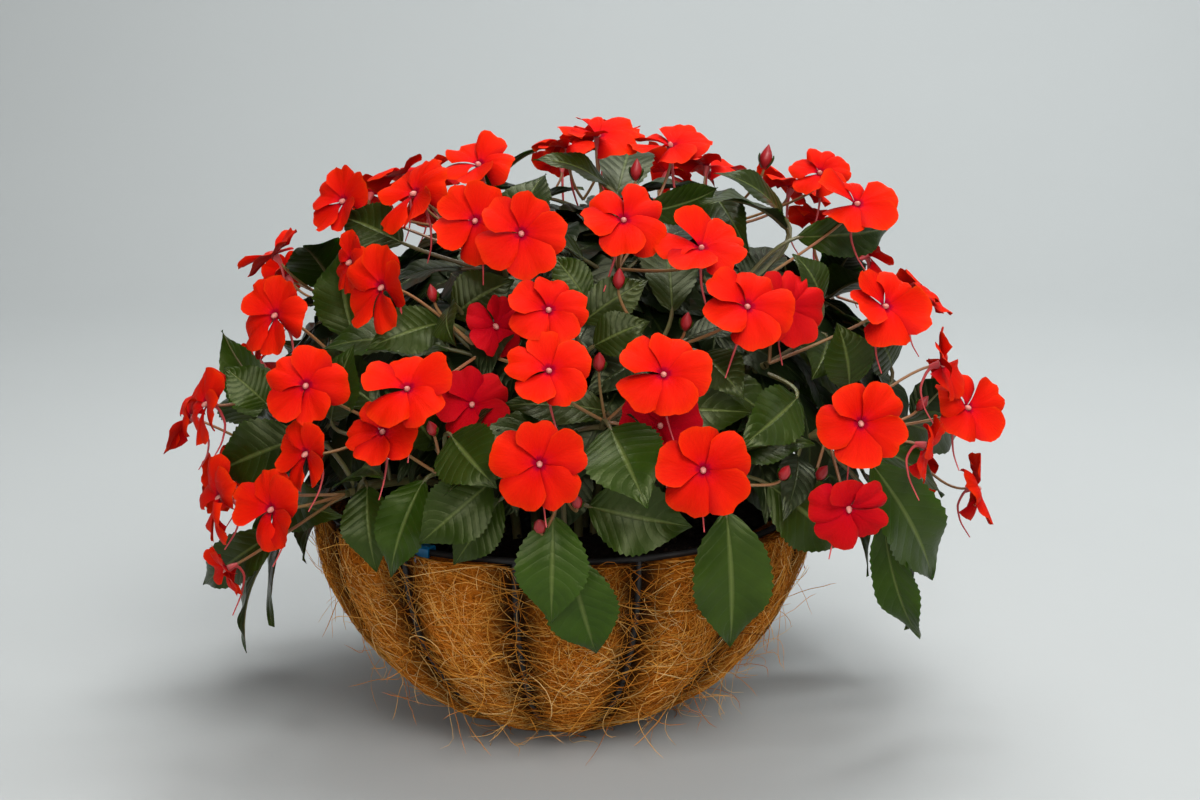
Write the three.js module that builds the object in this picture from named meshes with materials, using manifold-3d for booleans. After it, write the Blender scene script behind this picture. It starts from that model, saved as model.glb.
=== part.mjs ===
// A New Guinea impatiens in full bloom, planted in a wire basket with a coir liner.
// Millimetres, +Z up, the front towards -Y. The origin is the middle of the flat spot under the basket.
import * as THREE from "three";
import { mergeVertices } from "three/addons/utils/BufferGeometryUtils.js";
import Module from "manifold-3d";

const wasm = await Module();
wasm.setup();

// Driving dimensions of the basket
const RIM_HEIGHT = 158; // centre of the rim wire above the floor
const BOWL_RADIUS = 178; // crest of the coir lobes at the rim
const BOWL_DEPTH = 166; // the crest's profile is a quarter ellipse this deep, cut off flat at the floor
const RIB_COUNT = 13;
const FIRST_RIB_DEG = -10.8; // counted from the front towards the right
const WIRE_RADIUS = 2.2;
const WIRE_CLEARANCE = 1.2; // between a rib and the bottom of its groove
const GROOVE_DEPTH = 12; // how deep the rim wire and the ribs press into the coir at the top
const LOW_GROOVE_DEPTH = 8; // the same at the floor
const COIR_WALL = 22; // from a lobe's crest to the inside
const COIR_TOP = 154.8;
const SOIL_TOP = 146;
const FIT_GAP = 0.4; // between pieces that touch

// Driving dimensions of the plant
const DOME_CENTRE = new THREE.Vector3(15, 0, 190);
const DOME_RADII = new THREE.Vector3(296, 255, 240); // the surface that the blooms sit on
const EYE = new THREE.Vector3(0, -1547, 567); // the point that the front places below are seen from
const STEM_RADIUS = 3.4;
const STEM_SIDES = 4;
const PEDICEL_RADIUS = 1.0;
const STEM_ROOT_HEIGHT = 131;
const LEAF_THICKNESS = 1.4;

// Branch tips seen from the front: x and z in the upright plane through the origin, in mm.
const TIP_OUT = -62; // how far a branch tip lies outside the dome's surface
const FRONT_TIPS = [
  [35, 222], [160, 352], [-78, 292], [185, 280], [-5, 150], [-165, 216], [-208, 150], [240, 208],
  [122, 164], [46, 372], [-60, 376], [-205, 280], [-118, 168], [80, 290],
];

// Blooms on the near side: x, z, diameter, facing (degrees right of the front, degrees up), and mm outside
// the dome.
const NEAR_BLOOMS = [
  [-153, 372, 50, -42, 28, 0], [-103, 377, 60, -55, 38, 0], [-58, 397, 52, -28, 58, 0],
  [-61, 358, 54, -12, 24, -4], [-29, 349, 57, 8, 22, 12], [25, 417, 56, 20, 74, 0],
  [76, 410, 56, -15, 76, 0], [43, 358, 56, 10, 42, 4], [-127, 311, 58, -46, 10, 0],
  [-203, 291, 56, -36, 20, 0], [-183, 240, 54, -12, 26, 6], [-254, 227, 54, -60, 14, 0],
  [-111, 237, 56, -6, 48, 16], [-129, 206, 50, -12, 36, 0], [-184, 190, 48, -50, 10, 0],
  [-210, 149, 56, -40, 12, 6], [-247, 158, 62, -70, 4, 0], [-244, 104, 42, -60, -20, -10],
  [-65, 226, 50, 0, 20, -45], [-10, 294, 50, 6, 38, 0], [-10, 250, 53, 8, 42, 6],
  [-48, 283, 42, 30, 10, -50], [-17, 182, 59, 0, 18, 8], [72, 247, 58, 4, 38, 8],
  [101, 177, 60, 2, 15, 8], [98, 338, 58, 6, 54, 0], [131, 296, 59, 10, 40, 8],
  [160, 296, 52, 20, 10, -24], [181, 391, 44, -15, 48, -8], [207, 369, 60, 30, 50, 6],
  [229, 296, 58, 28, 38, 4], [270, 254, 52, 78, 15, 0], [290, 222, 54, 40, 32, 4],
  [262, 194, 46, 75, -10, -8], [214, 211, 57, 8, 14, 6], [207, 148, 52, 4, -14, 0],
  [70, 210, 52, -4, 20, -32], [-149, 329, 44, -60, 10, -16],
];
// The same for blooms that show past the top from the far side.
const FAR_BLOOMS = [
  [0, 398, 48, 180, 60, 0], [74, 391, 54, 130, 35, 0], [-194, 320, 46, -150, 30, 0],
  [216, 333, 58, 110, 25, 0], [-134, 377, 46, 170, 35, 0],
];
// Buds on the near side: x, z, length, mm outside the dome.
const BUDS = [
  [143, 402, 17, -8], [40, 316, 15, -8], [26, 256, 15, -14], [88, 285, 14, -30], [-17, 135, 15, -20],
  [10, 153, 13, -28], [160, 174, 14, -26], [187, 174, 14, -36], [-94, 208, 13, -14], [-92, 306, 13, -20],
  [52, 393, 15, -10], [258, 225, 13, -20],
];
// Leaves that show on the near side: base x, z, tip x, z, width, mm outside the dome (base, tip) and the
// turn in degrees.
const FRONT_LEAVES = [
  [118, 146, 122, 42, 50, -52, -42, 0], [-7, 143, -9, 61, 44, -50, -38, 0],
  [4, 112, 24, 37, 45, -64, -54, 0], [-141, 166, -136, 101, 34, -55, -45, 0],
  [-100, 170, -126, 97, 36, -50, -38, 15], [-52, 168, -105, 122, 40, -48, -35, 0],
  [18, 150, 94, 134, 46, -50, -38, 0], [34, 208, 61, 148, 48, -45, -18, 0],
  [222, 182, 269, 93, 46, -48, -22, 0], [232, 140, 262, 48, 30, -50, -30, 50],
  [148, 166, 205, 118, 44, -55, -42, 0], [-208, 132, -262, 92, 32, -50, -18, 0],
  [-212, 120, -233, 40, 28, -52, -35, 60], [-45, 156, -80, 106, 30, -62, -56, 0],
  [-205, 162, -158, 143, 36, -58, -42, 0], [-80, 203, -48, 164, 42, -30, -10, 0],
  [-85, 285, -140, 266, 32, -42, -15, 0], [-78, 298, -76, 268, 24, -35, -12, 40],
  [-78, 290, -34, 316, 36, -38, -20, 0], [14, 285, 61, 316, 28, -38, -20, 0],
  [18, 300, -7, 334, 24, -38, -25, 0], [52, 222, 137, 219, 36, -42, -18, 0],
  [32, 220, -46, 224, 28, -42, -15, 20], [168, 230, 126, 192, 36, -45, -30, 0],
  [188, 274, 178, 243, 38, -45, -20, 0], [165, 346, 233, 353, 30, -30, -5, 40],
  [184, 300, 163, 334, 26, -20, -4, 20], [158, 352, 97, 371, 28, -30, -8, 45],
  [156, 360, 107, 392, 28, -32, -15, 20], [58, 364, 110, 381, 26, -32, -15, 50],
  [104, 378, 133, 332, 24, -32, -20, 20], [38, 374, 50, 412, 36, -42, -32, 0],
  [32, 382, -20, 401, 28, -30, -10, 30], [-112, 342, -156, 361, 34, -34, -10, 0],
  [240, 213, 287, 205, 30, -38, -15, 30], [-211, 226, -241, 254, 28, -34, -5, 20],
  [-186, 202, -250, 176, 42, -38, -10, 0], [-166, 214, -148, 270, 32, -38, -15, 0],
  [235, 252, 215, 285, 40, -46, -34, 0], [205, 238, 195, 285, 36, -52, -42, 0],
  [78, 292, 70, 350, 36, -48, -36, 0], [22, 268, 62, 286, 28, -48, -36, 0],
  [100, 262, 130, 229, 30, -42, -25, 0],
];
// Rings of branches round the back: degrees from upright, number, first and last degrees right of the front.
const BACK_RINGS = [[90, 6, 95, 265], [54, 4, 105, 255], [32, 2, 130, 230], [10, 1, 180, 180]];
const BACK_BLOOMS_PER_TIP = 2;
const BACK_BLOOM_OUT = -14; // mm outside the dome
const BACK_BLOOM_DIAMETERS = [50, 62];
const FRONT_FILL_LEAVES = 1; // leaves that a rule adds round each front tip
const BACK_FILL_LEAVES = 5;
const FILL_TIP_LOWEST = { front: 168, back: 60 }; // no tip of such a leaf is lower
const SCRAP_MM3 = 2;
const TRIES = 12; // places tried for a bloom, bud or stalk before it is left out
const STALK_TRIES = 36;
const LEAF_TRIES = 20;

const UP = new THREE.Vector3(0, 0, 1);
const rad = THREE.MathUtils.degToRad;
const vec = (x, y, z) => new THREE.Vector3(x, y, z);

// A number from 0 to 1 that depends only on the whole numbers given.
function draw(...keys) {
  let h = 2166136261;
  for (const key of keys) h = Math.imul(h ^ key, 16777619) >>> 0;
  h = Math.imul(h ^ (h >>> 15), 2246822519) >>> 0;
  h = Math.imul(h ^ (h >>> 13), 3266489917) >>> 0;
  return ((h ^ (h >>> 16)) >>> 0) / 4294967296;
}

// The geometry's closed mesh as a solid, turned to face out.
function solidOf(geometry) {
  const bare = geometry.clone();
  bare.deleteAttribute("normal");
  bare.deleteAttribute("uv");
  const merged = mergeVertices(bare, 1e-4);
  return solidFrom(merged.attributes.position.array, merged.index.array);
}

function solidFrom(positions, faces) {
  const make = (triVerts) =>
    new wasm.Manifold(new wasm.Mesh({ numProp: 3, vertProperties: new Float32Array(positions), triVerts }));
  const made = make(new Uint32Array(faces));
  if (made.volume() > 0) return made;
  const turned = new Uint32Array(faces);
  for (let i = 0; i < turned.length; i += 3) [turned[i + 1], turned[i + 2]] = [turned[i + 2], turned[i + 1]];
  return make(turned);
}

function solidOfPoints(points, faces) {
  return solidFrom(points.flatMap((p) => [p.x, p.y, p.z]), faces.flat());
}

// Rings of corners along a line, with their side faces; the section doesn't twist.
function sweep(points, faces, line, radii, sides, start) {
  const between = (a, b) => b.clone().sub(a).normalize();
  let across = start;
  const rings = line.map((p, i) => {
    const before = i > 0 ? between(line[i - 1], p) : vec(0, 0, 0);
    const after = i < line.length - 1 ? between(p, line[i + 1]) : vec(0, 0, 0);
    const way = before.add(after).normalize();
    across = across.clone().addScaledVector(way, -across.dot(way)).normalize();
    const high = way.clone().cross(across);
    return Array.from({ length: sides }, (_, k) => {
      const a = (k * 2 * Math.PI) / sides;
      const corner = p.clone()
        .addScaledVector(across, radii[i] * Math.cos(a))
        .addScaledVector(high, radii[i] * Math.sin(a));
      return points.push(corner) - 1;
    });
  });
  for (let i = 0; i < line.length - 1; i++)
    for (let k = 0; k < sides; k++) {
      const next = (k + 1) % sides;
      const [a, b, c, d] = [rings[i][k], rings[i][next], rings[i + 1][k], rings[i + 1][next]];
      faces.push([a, b, c], [b, d, c]);
    }
  return rings;
}

function closeEnd(faces, ring) {
  for (let k = 1; k < ring.length - 1; k++) faces.push([ring[0], ring[k], ring[k + 1]]);
}

// A closed rod along a line of points, of one radius or of one at each point.
function rod(line, radius, sides) {
  const points = [];
  const faces = [];
  const first = line[1].clone().sub(line[0]);
  const across = Math.abs(first.z) > 0.9 * first.length() ? vec(1, 0, 0) : vec(0, 0, 1);
  const radii = Array.isArray(radius) ? radius : line.map(() => radius);
  const rings = sweep(points, faces, line, radii, sides, across);
  closeEnd(faces, rings[0].toReversed());
  closeEnd(faces, rings[rings.length - 1]);
  return solidOfPoints(points, faces);
}

function meshOf(name, solid, material) {
  const data = solid.getMesh();
  const geometry = new THREE.BufferGeometry();
  geometry.setAttribute("position", new THREE.BufferAttribute(data.vertProperties, 3));
  geometry.setIndex(new THREE.BufferAttribute(data.triVerts, 1));
  const mesh = new THREE.Mesh(geometry, material);
  mesh.name = name;
  return mesh;
}

const finish = (hex, roughness, metalness = 0) =>
  new THREE.MeshStandardMaterial({ color: hex, roughness, metalness });
const materials = {
  wire: finish(0x23262a, 0.45, 0.3),
  coir: finish(0x9c6a34, 0.95),
  soil: finish(0x2a1d14, 1.0),
  clip: finish(0x1f78b4, 0.4),
  leaf: finish(0x2f4a1e, 0.5),
  petal: finish(0xf03a10, 0.6),
};

// Basket: the groove and crest profiles of the coir, by an angle that is 0 at the rim and grows towards the
// floor.
const FLOOR_ANGLE = Math.asin(RIM_HEIGHT / BOWL_DEPTH);
const TOP_ANGLE = Math.asin((RIM_HEIGHT - COIR_TOP) / BOWL_DEPTH);

// Radius and height of the bowl's profile, moved outwards along its normal.
function profile(angle, out) {
  const normal = new THREE.Vector2(Math.cos(angle) * BOWL_DEPTH, -Math.sin(angle) * BOWL_RADIUS).normalize();
  return new THREE.Vector2(
    BOWL_RADIUS * Math.cos(angle) + out * normal.x,
    RIM_HEIGHT - BOWL_DEPTH * Math.sin(angle) + out * normal.y,
  );
}

// A point at a radius and height, by its degrees right of the front.
function around(radius, height, degrees) {
  return vec(radius * Math.sin(rad(degrees)), -radius * Math.cos(rad(degrees)), height);
}

const RING_RADIUS = BOWL_RADIUS - GROOVE_DEPTH + WIRE_CLEARANCE + WIRE_RADIUS;
const BASE_RING = { radius: 46, height: 2.6 };
const BASE_PAD = [[4, 11], [-5, 11], [-8, 0]]; // the coir inside the ribs: mm outside the base ring, height
const BOWL_STATIONS = 6;
const stationAngle = (j) => TOP_ANGLE + ((FLOOR_ANGLE - TOP_ANGLE) * j) / (BOWL_STATIONS - 1);
const stationGroove = (j) =>
  THREE.MathUtils.lerp(GROOVE_DEPTH, LOW_GROOVE_DEPTH, (j / (BOWL_STATIONS - 1)) ** 2);

function wireRing(radius, height, segments, sides) {
  const ring = new THREE.TorusGeometry(radius, WIRE_RADIUS, sides, segments);
  ring.rotateZ(rad(FIRST_RIB_DEG - 90 + 180 / segments)); // a rib meets the middle of a straight stretch
  ring.translate(0, 0, height);
  return solidOf(ring);
}

function makeWireFrame() {
  const rimRing = wireRing(RING_RADIUS, RIM_HEIGHT, 2 * RIB_COUNT, 5);
  const parts = [rimRing, wireRing(BASE_RING.radius, BASE_RING.height, RIB_COUNT, 4)];
  for (let k = 0; k < RIB_COUNT; k++) {
    const degrees = FIRST_RIB_DEG + (k * 360) / RIB_COUNT;
    const line = [around(RING_RADIUS, RIM_HEIGHT, degrees)];
    for (let j = 1; j < BOWL_STATIONS; j++) {
      const p = profile(stationAngle(j), WIRE_CLEARANCE + WIRE_RADIUS - stationGroove(j));
      line.push(around(p.x, p.y, degrees));
    }
    line.push(around(BASE_RING.radius, BASE_RING.height, degrees));
    parts.push(rod(line, WIRE_RADIUS, 4));
  }
  return wasm.Manifold.union(parts);
}

// The liner's outside: lobes between the ribs, a groove round the base ring and a flat pad inside it.
function makeCoirLiner() {
  const perLobe = 4;
  const count = RIB_COUNT * perLobe;
  const share = [0, 0.8, 1, 0.8]; // of the groove's depth, from a groove to the next
  const points = [];
  const ringAt = (radiusHeight) => {
    for (let i = 0; i < count; i++) {
      const p = radiusHeight(i % perLobe);
      points.push(around(p.x, p.y, FIRST_RIB_DEG + (i * 360) / count));
    }
  };
  for (let j = 0; j < BOWL_STATIONS; j++) {
    ringAt((step) => {
      const p = profile(stationAngle(j), (share[step] - 1) * stationGroove(j));
      if (j === 0) p.y = COIR_TOP;
      return p;
    });
  }
  for (const [out, height] of BASE_PAD) ringAt(() => ({ x: BASE_RING.radius + out, y: height }));
  const rings = BOWL_STATIONS + 3;
  const faces = [];
  for (let j = 0; j < rings - 1; j++)
    for (let i = 0; i < count; i++) {
      const [a, b] = [j * count + i, j * count + ((i + 1) % count)];
      faces.push([a, a + count, b], [b, a + count, b + count]);
    }
  const top = points.push(vec(0, 0, COIR_TOP)) - 1;
  const bottom = points.push(vec(0, 0, 0)) - 1;
  const last = (rings - 1) * count;
  for (let i = 0; i < count; i++) {
    const next = (i + 1) % count;
    faces.push([top, i, next], [bottom, last + next, last + i]);
  }
  return solidOfPoints(points, faces).subtract(bowlInside(0));
}

// What fills the liner, smaller by a gap, to well above the rim.
function bowlInside(gap) {
  const inset = -COIR_WALL - gap;
  const line = [new THREE.Vector2(0, profile(FLOOR_ANGLE, inset).y)];
  for (let j = 4; j >= 0; j--) line.push(profile((FLOOR_ANGLE * j) / 4, inset));
  const rim = line[line.length - 1];
  line.push(new THREE.Vector2(rim.x, rim.y + 20), new THREE.Vector2(0, rim.y + 20));
  const lathe = new THREE.LatheGeometry(line, 24);
  lathe.rotateX(Math.PI / 2);
  return solidOf(lathe);
}

// A plastic clip that hooks over the rim wire and hangs down on both sides of it.
const CLIP = { degrees: -32.6, width: 11, thickness: 1.6, drop: 7 };

function clipPlaced(section, width) {
  const shape = new THREE.Shape(section.map(([x, y]) => new THREE.Vector2(x, y)));
  const clip = new THREE.ExtrudeGeometry(shape, { depth: width, bevelEnabled: false });
  clip.translate(0, 0, -width / 2);
  clip.rotateX(Math.PI / 2);
  clip.rotateZ(rad(CLIP.degrees - 90));
  const place = around(RING_RADIUS * Math.cos(Math.PI / RIB_COUNT / 4), RIM_HEIGHT, CLIP.degrees);
  clip.translate(place.x, place.y, place.z);
  return solidOf(clip);
}

function makeRimClip() {
  const inner = WIRE_RADIUS + 2 * FIT_GAP;
  const outer = inner + CLIP.thickness;
  const bevel = outer - CLIP.thickness;
  const low = -CLIP.drop;
  const outside = [[outer, low], [outer, bevel], [bevel, outer], [-bevel, outer], [-outer, bevel]];
  const inside = [[-outer, -3], [-inner, -3], [-inner, inner], [inner, inner], [inner, low]];
  return clipPlaced([...outside, ...inside], CLIP.width);
}

// The dent that the clip presses into the coir.
function clipDent() {
  const half = WIRE_RADIUS + CLIP.thickness + 5 * FIT_GAP;
  const low = -CLIP.drop - 2 * FIT_GAP;
  return clipPlaced([[half + 12, low], [half + 12, 9], [-half, 9], [-half, low]], CLIP.width + 3);
}

// The point of the dome, grown by `out` mm, on the sight line through a front place.
function onDome(x, z, out, far = false) {
  const radii = DOME_RADII.clone().addScalar(out);
  const start = EYE.clone().sub(DOME_CENTRE).divide(radii);
  const way = vec(x, 0, z).sub(EYE).divide(radii);
  const [a, b, c] = [way.dot(way), start.dot(way), start.dot(start) - 1];
  const root = Math.sqrt(Math.max(0, b * b - a * c));
  const t = (-b + (far ? root : -root)) / a;
  return start.addScaledVector(way, t).multiply(radii).add(DOME_CENTRE);
}

// The dome's point, grown by `out` mm, in a direction from its centre.
function domeTowards(direction, out) {
  const radii = DOME_RADII.clone().addScalar(out);
  return direction.clone().normalize().multiply(radii).add(DOME_CENTRE);
}

function outward(point) {
  return point.clone().sub(DOME_CENTRE).divide(DOME_RADII).divide(DOME_RADII).normalize();
}

function facing(rightDeg, upDeg) {
  const flat = Math.cos(rad(upDeg));
  return vec(Math.sin(rad(rightDeg)) * flat, -Math.cos(rad(rightDeg)) * flat, Math.sin(rad(upDeg)));
}

// A point of the dome moved straight out from its centre.
const unitOf = (point) => point.clone().sub(DOME_CENTRE).divide(DOME_RADII).normalize();
const inwards = (point, out) => domeTowards(unitOf(point), out);

// Branches: each stands in the soil nearer the middle the more upright its tip is.
function branchList() {
  const tips = FRONT_TIPS.map(([x, z]) => inwards(onDome(x, z, 0), TIP_OUT));
  for (const [polar, number, first, last] of BACK_RINGS)
    for (let i = 0; i < number; i++) {
      const right = number > 1 ? first + ((last - first) * i) / (number - 1) : first;
      tips.push(domeTowards(facing(right, 90 - polar), TIP_OUT));
    }
  return tips.map((tip, k) => {
    const way = tip.clone().sub(vec(0, 0, SOIL_TOP));
    const polar = Math.acos(way.z / way.length());
    const reach = 18 + 80 * (polar / (Math.PI / 2));
    const flat = vec(way.x, way.y, 0).normalize();
    const root = flat.clone().multiplyScalar(reach).setZ(SOIL_TOP + 3);
    const bend = flat.clone().multiplyScalar(reach * 1.1).setZ(Math.max(tip.z * 0.8, 205));
    const curve = new THREE.QuadraticBezierCurve3(root, bend, tip);
    return { k, tip, root, curve, front: k < FRONT_TIPS.length };
  });
}

// A petal's outline from its right corner by the notch to its raised wing: how far out, across and up, as
// shares of the bloom's radius.
const PETAL_OUTLINE = [[0.82, -0.47, -0.06], [0.89, 0, 0.01], [0.96, 0.3, 0.05], [0.57, 0.55, 0.13]];
const PETAL_LENGTHS = [0.92, 1, 1.04, 1.04, 1]; // the upper petal is the shortest

// How far a bloom's petal leans forward, as a share of the distance from the hub
function petalLean(index, k) {
  return 0.04 + 0.16 * draw(index, 31) + 0.07 * Math.cos(2 * k * rad(72) + 6.3 * draw(index, 32));
}

// A bloom: five notched petals round a hub, each twisted so that its left wing lies over the next petal.
// Behind the hub it narrows to a neck, from where the stalk, if it is given, runs on in the same solid.
const HUB_RADIUS = 2.8;
const HUB_DEPTH = 1.5;
const NECK_BACK = 7; // from the hub to the neck
const PEDICEL_STEPS = 2;

function bloomSolid({ index, hub, face, diameter, roll }, stalk) {
  const R = diameter / 2;
  const side = Math.abs(face.z) > 0.99 ? vec(1, 0, 0) : UP.clone().cross(face).normalize();
  const high = face.clone().cross(side);
  const at = (r, t, angle, z) =>
    hub.clone()
      .addScaledVector(side, r * Math.cos(angle) - t * Math.sin(angle))
      .addScaledVector(high, r * Math.sin(angle) + t * Math.cos(angle))
      .addScaledVector(face, z);
  const points = [];
  const add = (p) => points.push(p) - 1;
  const faces = [];
  const fifth = (2 * Math.PI) / 5;
  const top = [];
  const under = [];
  for (let k = 0; k < 5; k++) {
    top.push(add(at(HUB_RADIUS, 0, roll + (k + 0.5) * fifth, 0)));
    under.push(add(at(HUB_RADIUS, 0, roll + (k + 0.5) * fifth, -HUB_DEPTH)));
  }
  for (let k = 0; k < 5; k++) {
    const angle = roll + k * fifth;
    const [rightTop, rightUnder] = [top[(k + 4) % 5], under[(k + 4) % 5]];
    const [leftTop, leftUnder] = [top[k], under[k]];
    const long = PETAL_LENGTHS[k];
    const lean = petalLean(index, k);
    const corners = PETAL_OUTLINE.map(([r, t, z]) =>
      add(at(r * R * long, t * R, angle, (z + lean * Math.hypot(r * long, t)) * R)));
    const [right, notch, left, wing] = corners;
    const middle = add(at(0.5 * R, 0, angle, (0.07 + 0.5 * lean) * R));
    const rim = [rightTop, ...corners, leftTop];
    for (let i = 0; i < rim.length; i++) faces.push([middle, rim[i], rim[(i + 1) % rim.length]]);
    faces.push([rightTop, rightUnder, right], [rightUnder, notch, right], [rightUnder, leftUnder, notch]);
    faces.push([leftUnder, left, notch], [leftUnder, wing, left], [leftTop, wing, leftUnder]);
  }
  closeEnd(faces, top);
  const neck = hub.clone().addScaledVector(face, -NECK_BACK);
  const line = stalk ?? [neck, neck.clone().addScaledVector(face, -2)];
  const start = at(1, 0, roll + fifth / 2, 0).sub(hub);
  const rings = sweep(points, faces, line, line.map(() => PEDICEL_RADIUS), 3, start);
  const [c0, c2, c1] = rings[0];
  const owner = [c0, c1, c1, c2, c2]; // the corner of the neck that each of the hub's five joins
  for (let k = 0; k < 5; k++) {
    const next = (k + 1) % 5;
    faces.push([under[k], owner[k], under[next]]);
    if (owner[k] !== owner[next]) faces.push([owner[k], owner[next], under[next]]);
  }
  closeEnd(faces, rings[rings.length - 1]);
  return solidOfPoints(points, faces);
}

// The thin curved spur that hangs behind a bloom.
function spurSolid({ hub, face }) {
  const down = vec(face.x * 0.25, face.y * 0.25, -1).normalize();
  const line = [[2.2, 0], [16, 14], [14, 38]].map(([back, drop]) =>
    hub.clone().addScaledVector(face, -back).addScaledVector(down, drop));
  return rod(line, [1.1, 0.9, 0.5], 3);
}

// A leaf with its petiole: a thin keeled blade with toothed edges, from its base to its tip.
const LEAF_EDGE = [[0.14, 1], [0.4, 1.08], [0.44, 0.92], [0.68, 1.08], [0.72, 0.88]];
const PLAIN_EDGE = [[0.16, 1], [0.5, 1.08], [0.56, 0.9]]; // of a small leaf, or one not seen from the front
const PLAIN_WIDTH = 32; // front leaves narrower than this have the plain edge
const LEAF_KEEL = [0.3, 0.68];
const leafHalfWidth = (u) => Math.pow(Math.sin(Math.PI * Math.pow(u, 0.85)), 0.8) / 2;

function leafSolid(leaf, grow = 0) {
  const { base, tip, width, normal, root } = leaf;
  const outline = leaf.plain ? PLAIN_EDGE : LEAF_EDGE;
  const length = base.distanceTo(tip);
  const along = tip.clone().sub(base).normalize();
  const face = normal.clone().addScaledVector(along, -normal.dot(along)).normalize();
  const side = along.clone().cross(face);
  const lift = (u, v) => 0.4 * length * u * (1 - u) + 0.22 * Math.abs(v) * width * leafHalfWidth(u);
  const at = (u, v, raise) =>
    base.clone()
      .addScaledVector(along, u * length)
      .addScaledVector(face, lift(u, v) + raise)
      .addScaledVector(side, v * (width + grow) * leafHalfWidth(u));
  const points = [];
  const add = (p) => points.push(p) - 1;
  const stalk = base.clone().sub(root).normalize();
  const across = (way) => side.clone().addScaledVector(way, -side.dot(way)).normalize();
  const ring = (middle, way) => {
    const flat = across(way);
    const high = flat.clone().cross(way);
    return [
      add(middle.clone().addScaledVector(flat, -1.4 - grow)),
      add(middle.clone().addScaledVector(flat, 1.4 + grow)),
      add(middle.clone().addScaledVector(high, -2.2 - grow)),
    ];
  };
  const [rootLeft, rootRight, rootUnder] = ring(root, stalk);
  const [baseLeft, baseRight, baseUnder] = ring(base, stalk.clone().add(along).normalize());
  const faces = [
    [rootLeft, rootUnder, rootRight],
    [rootLeft, rootRight, baseLeft], [rootRight, baseRight, baseLeft],
    [rootRight, rootUnder, baseRight], [rootUnder, baseUnder, baseRight],
    [rootUnder, rootLeft, baseUnder], [rootLeft, baseLeft, baseUnder],
  ];
  const end = add(at(1, 0, 0));
  const upper = LEAF_KEEL.map((u) => add(at(u, 0, grow)));
  const lower = LEAF_KEEL.map((u) => add(at(u, 0, -LEAF_THICKNESS - grow)));
  const halves = [-1, 1].map((sign) => outline.map(([u, v]) => add(at(u, sign * v, 0))));
  halves.forEach((edge, index) => {
    const turn = (f) => (index ? f : [f[0], f[2], f[1]]);
    const cover = (start, keel, flip) => {
      const rim = [start, ...edge, end];
      const split = 2;
      for (let i = 0; i < rim.length - 1; i++) {
        const f = [rim[i], rim[i + 1], keel[i < split ? 0 : 1]];
        faces.push(turn(flip ? [f[0], f[2], f[1]] : f));
      }
      const f = [rim[split], keel[1], keel[0]];
      faces.push(turn(flip ? [f[0], f[2], f[1]] : f));
    };
    const start = index ? baseRight : baseLeft;
    cover(start, upper, false);
    cover(baseUnder, lower, true);
    faces.push(turn([start, baseUnder, edge[0]]));
  });
  faces.push([baseLeft, baseRight, upper[0]]);
  return solidOfPoints(points, faces);
}

// A bud on its stalk: three-sided, widest below its middle. A bare one is made for the clearance test.
function budSolid({ middle, way, length }, stalk) {
  const neck = middle.clone().addScaledVector(way, -0.42 * length);
  const belly = middle.clone().addScaledVector(way, -0.08 * length);
  const tip = middle.clone().addScaledVector(way, 0.58 * length);
  const foot = stalk ?? [neck.clone().addScaledVector(way, -1)];
  return rod([...foot, neck, belly, tip], [...foot.map(() => PEDICEL_RADIUS), 1.6, 0.34 * length, 0.4], 3);
}

// Every piece placed so far, with its node, so that a new one can keep clear of the others.
const placed = [];

function boxesMeet(a, b) {
  return [0, 1, 2].every((i) => a.min[i] <= b.max[i] && b.min[i] <= a.max[i]);
}

// Whether a solid keeps clear of every piece but those that it may grow into.
function isClear(solid, mayTouch = () => false) {
  const box = solid.boundingBox();
  return placed.every((other) => mayTouch(other) || !boxesMeet(box, other.box)
    || solid.intersect(other.solid).volume() < 1e-6);
}

const nodes = new Map();
function mark(node, solid, owner) {
  placed.push({ solid, node, owner, box: solid.boundingBox() });
}

function keep(node, solid, owner) {
  if (!nodes.has(node)) nodes.set(node, []);
  nodes.get(node).push(solid);
  mark(node, solid, owner);
}

const two = (k) => String(k + 1).padStart(2, "0");
const stemName = (k) => `leafy_stem_${two(k)}`;
const bloomName = (k) => `blooms_${two(k)}`;

// The share of the blooms whose spur is in the solids, for those seen from the side and for the others
const SPUR_SHARES = { side: 0.6, front: 0.15 };

// 0, 1, -1, 2, -2 and so on
const sway = (n) => (n % 2 ? (n + 1) / 2 : -n / 2);

// The basket
const wireFrame = makeWireFrame();
const coirLiner = makeCoirLiner().subtract(clipDent());
const rimClip = makeRimClip();
keep("wire_frame", wireFrame);
keep("coir_liner", coirLiner);
keep("rim_clip", rimClip);

// The stems, and the soil that they stand in
const branches = branchList();
const atHeight = (point, height) => point.clone().setZ(height);
for (const { k, root, curve } of branches)
  keep(stemName(k), rod([atHeight(root, STEM_ROOT_HEIGHT), ...curve.getPoints(3)], STEM_RADIUS, STEM_SIDES));
const holes = branches.map(({ root }) => {
  const line = [atHeight(root, STEM_ROOT_HEIGHT - FIT_GAP), atHeight(root, SOIL_TOP + 1)];
  return rod(line, STEM_RADIUS + 2 * FIT_GAP, STEM_SIDES);
});
keep("soil", wasm.Manifold.difference([bowlInside(FIT_GAP).trimByPlane([0, 0, -1], -SOIL_TOP), ...holes]));

// The blooms, each on the branch whose tip is nearest
const FOOT_GAP = 3.2; // from a stem's end to the middle of the foot that its pedicels grow from
function nearestBranch(point) {
  const way = unitOf(point);
  const away = (b) => unitOf(b.tip).distanceTo(way);
  return branches.reduce((best, b) => (away(b) < away(best) ? b : best));
}

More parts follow.
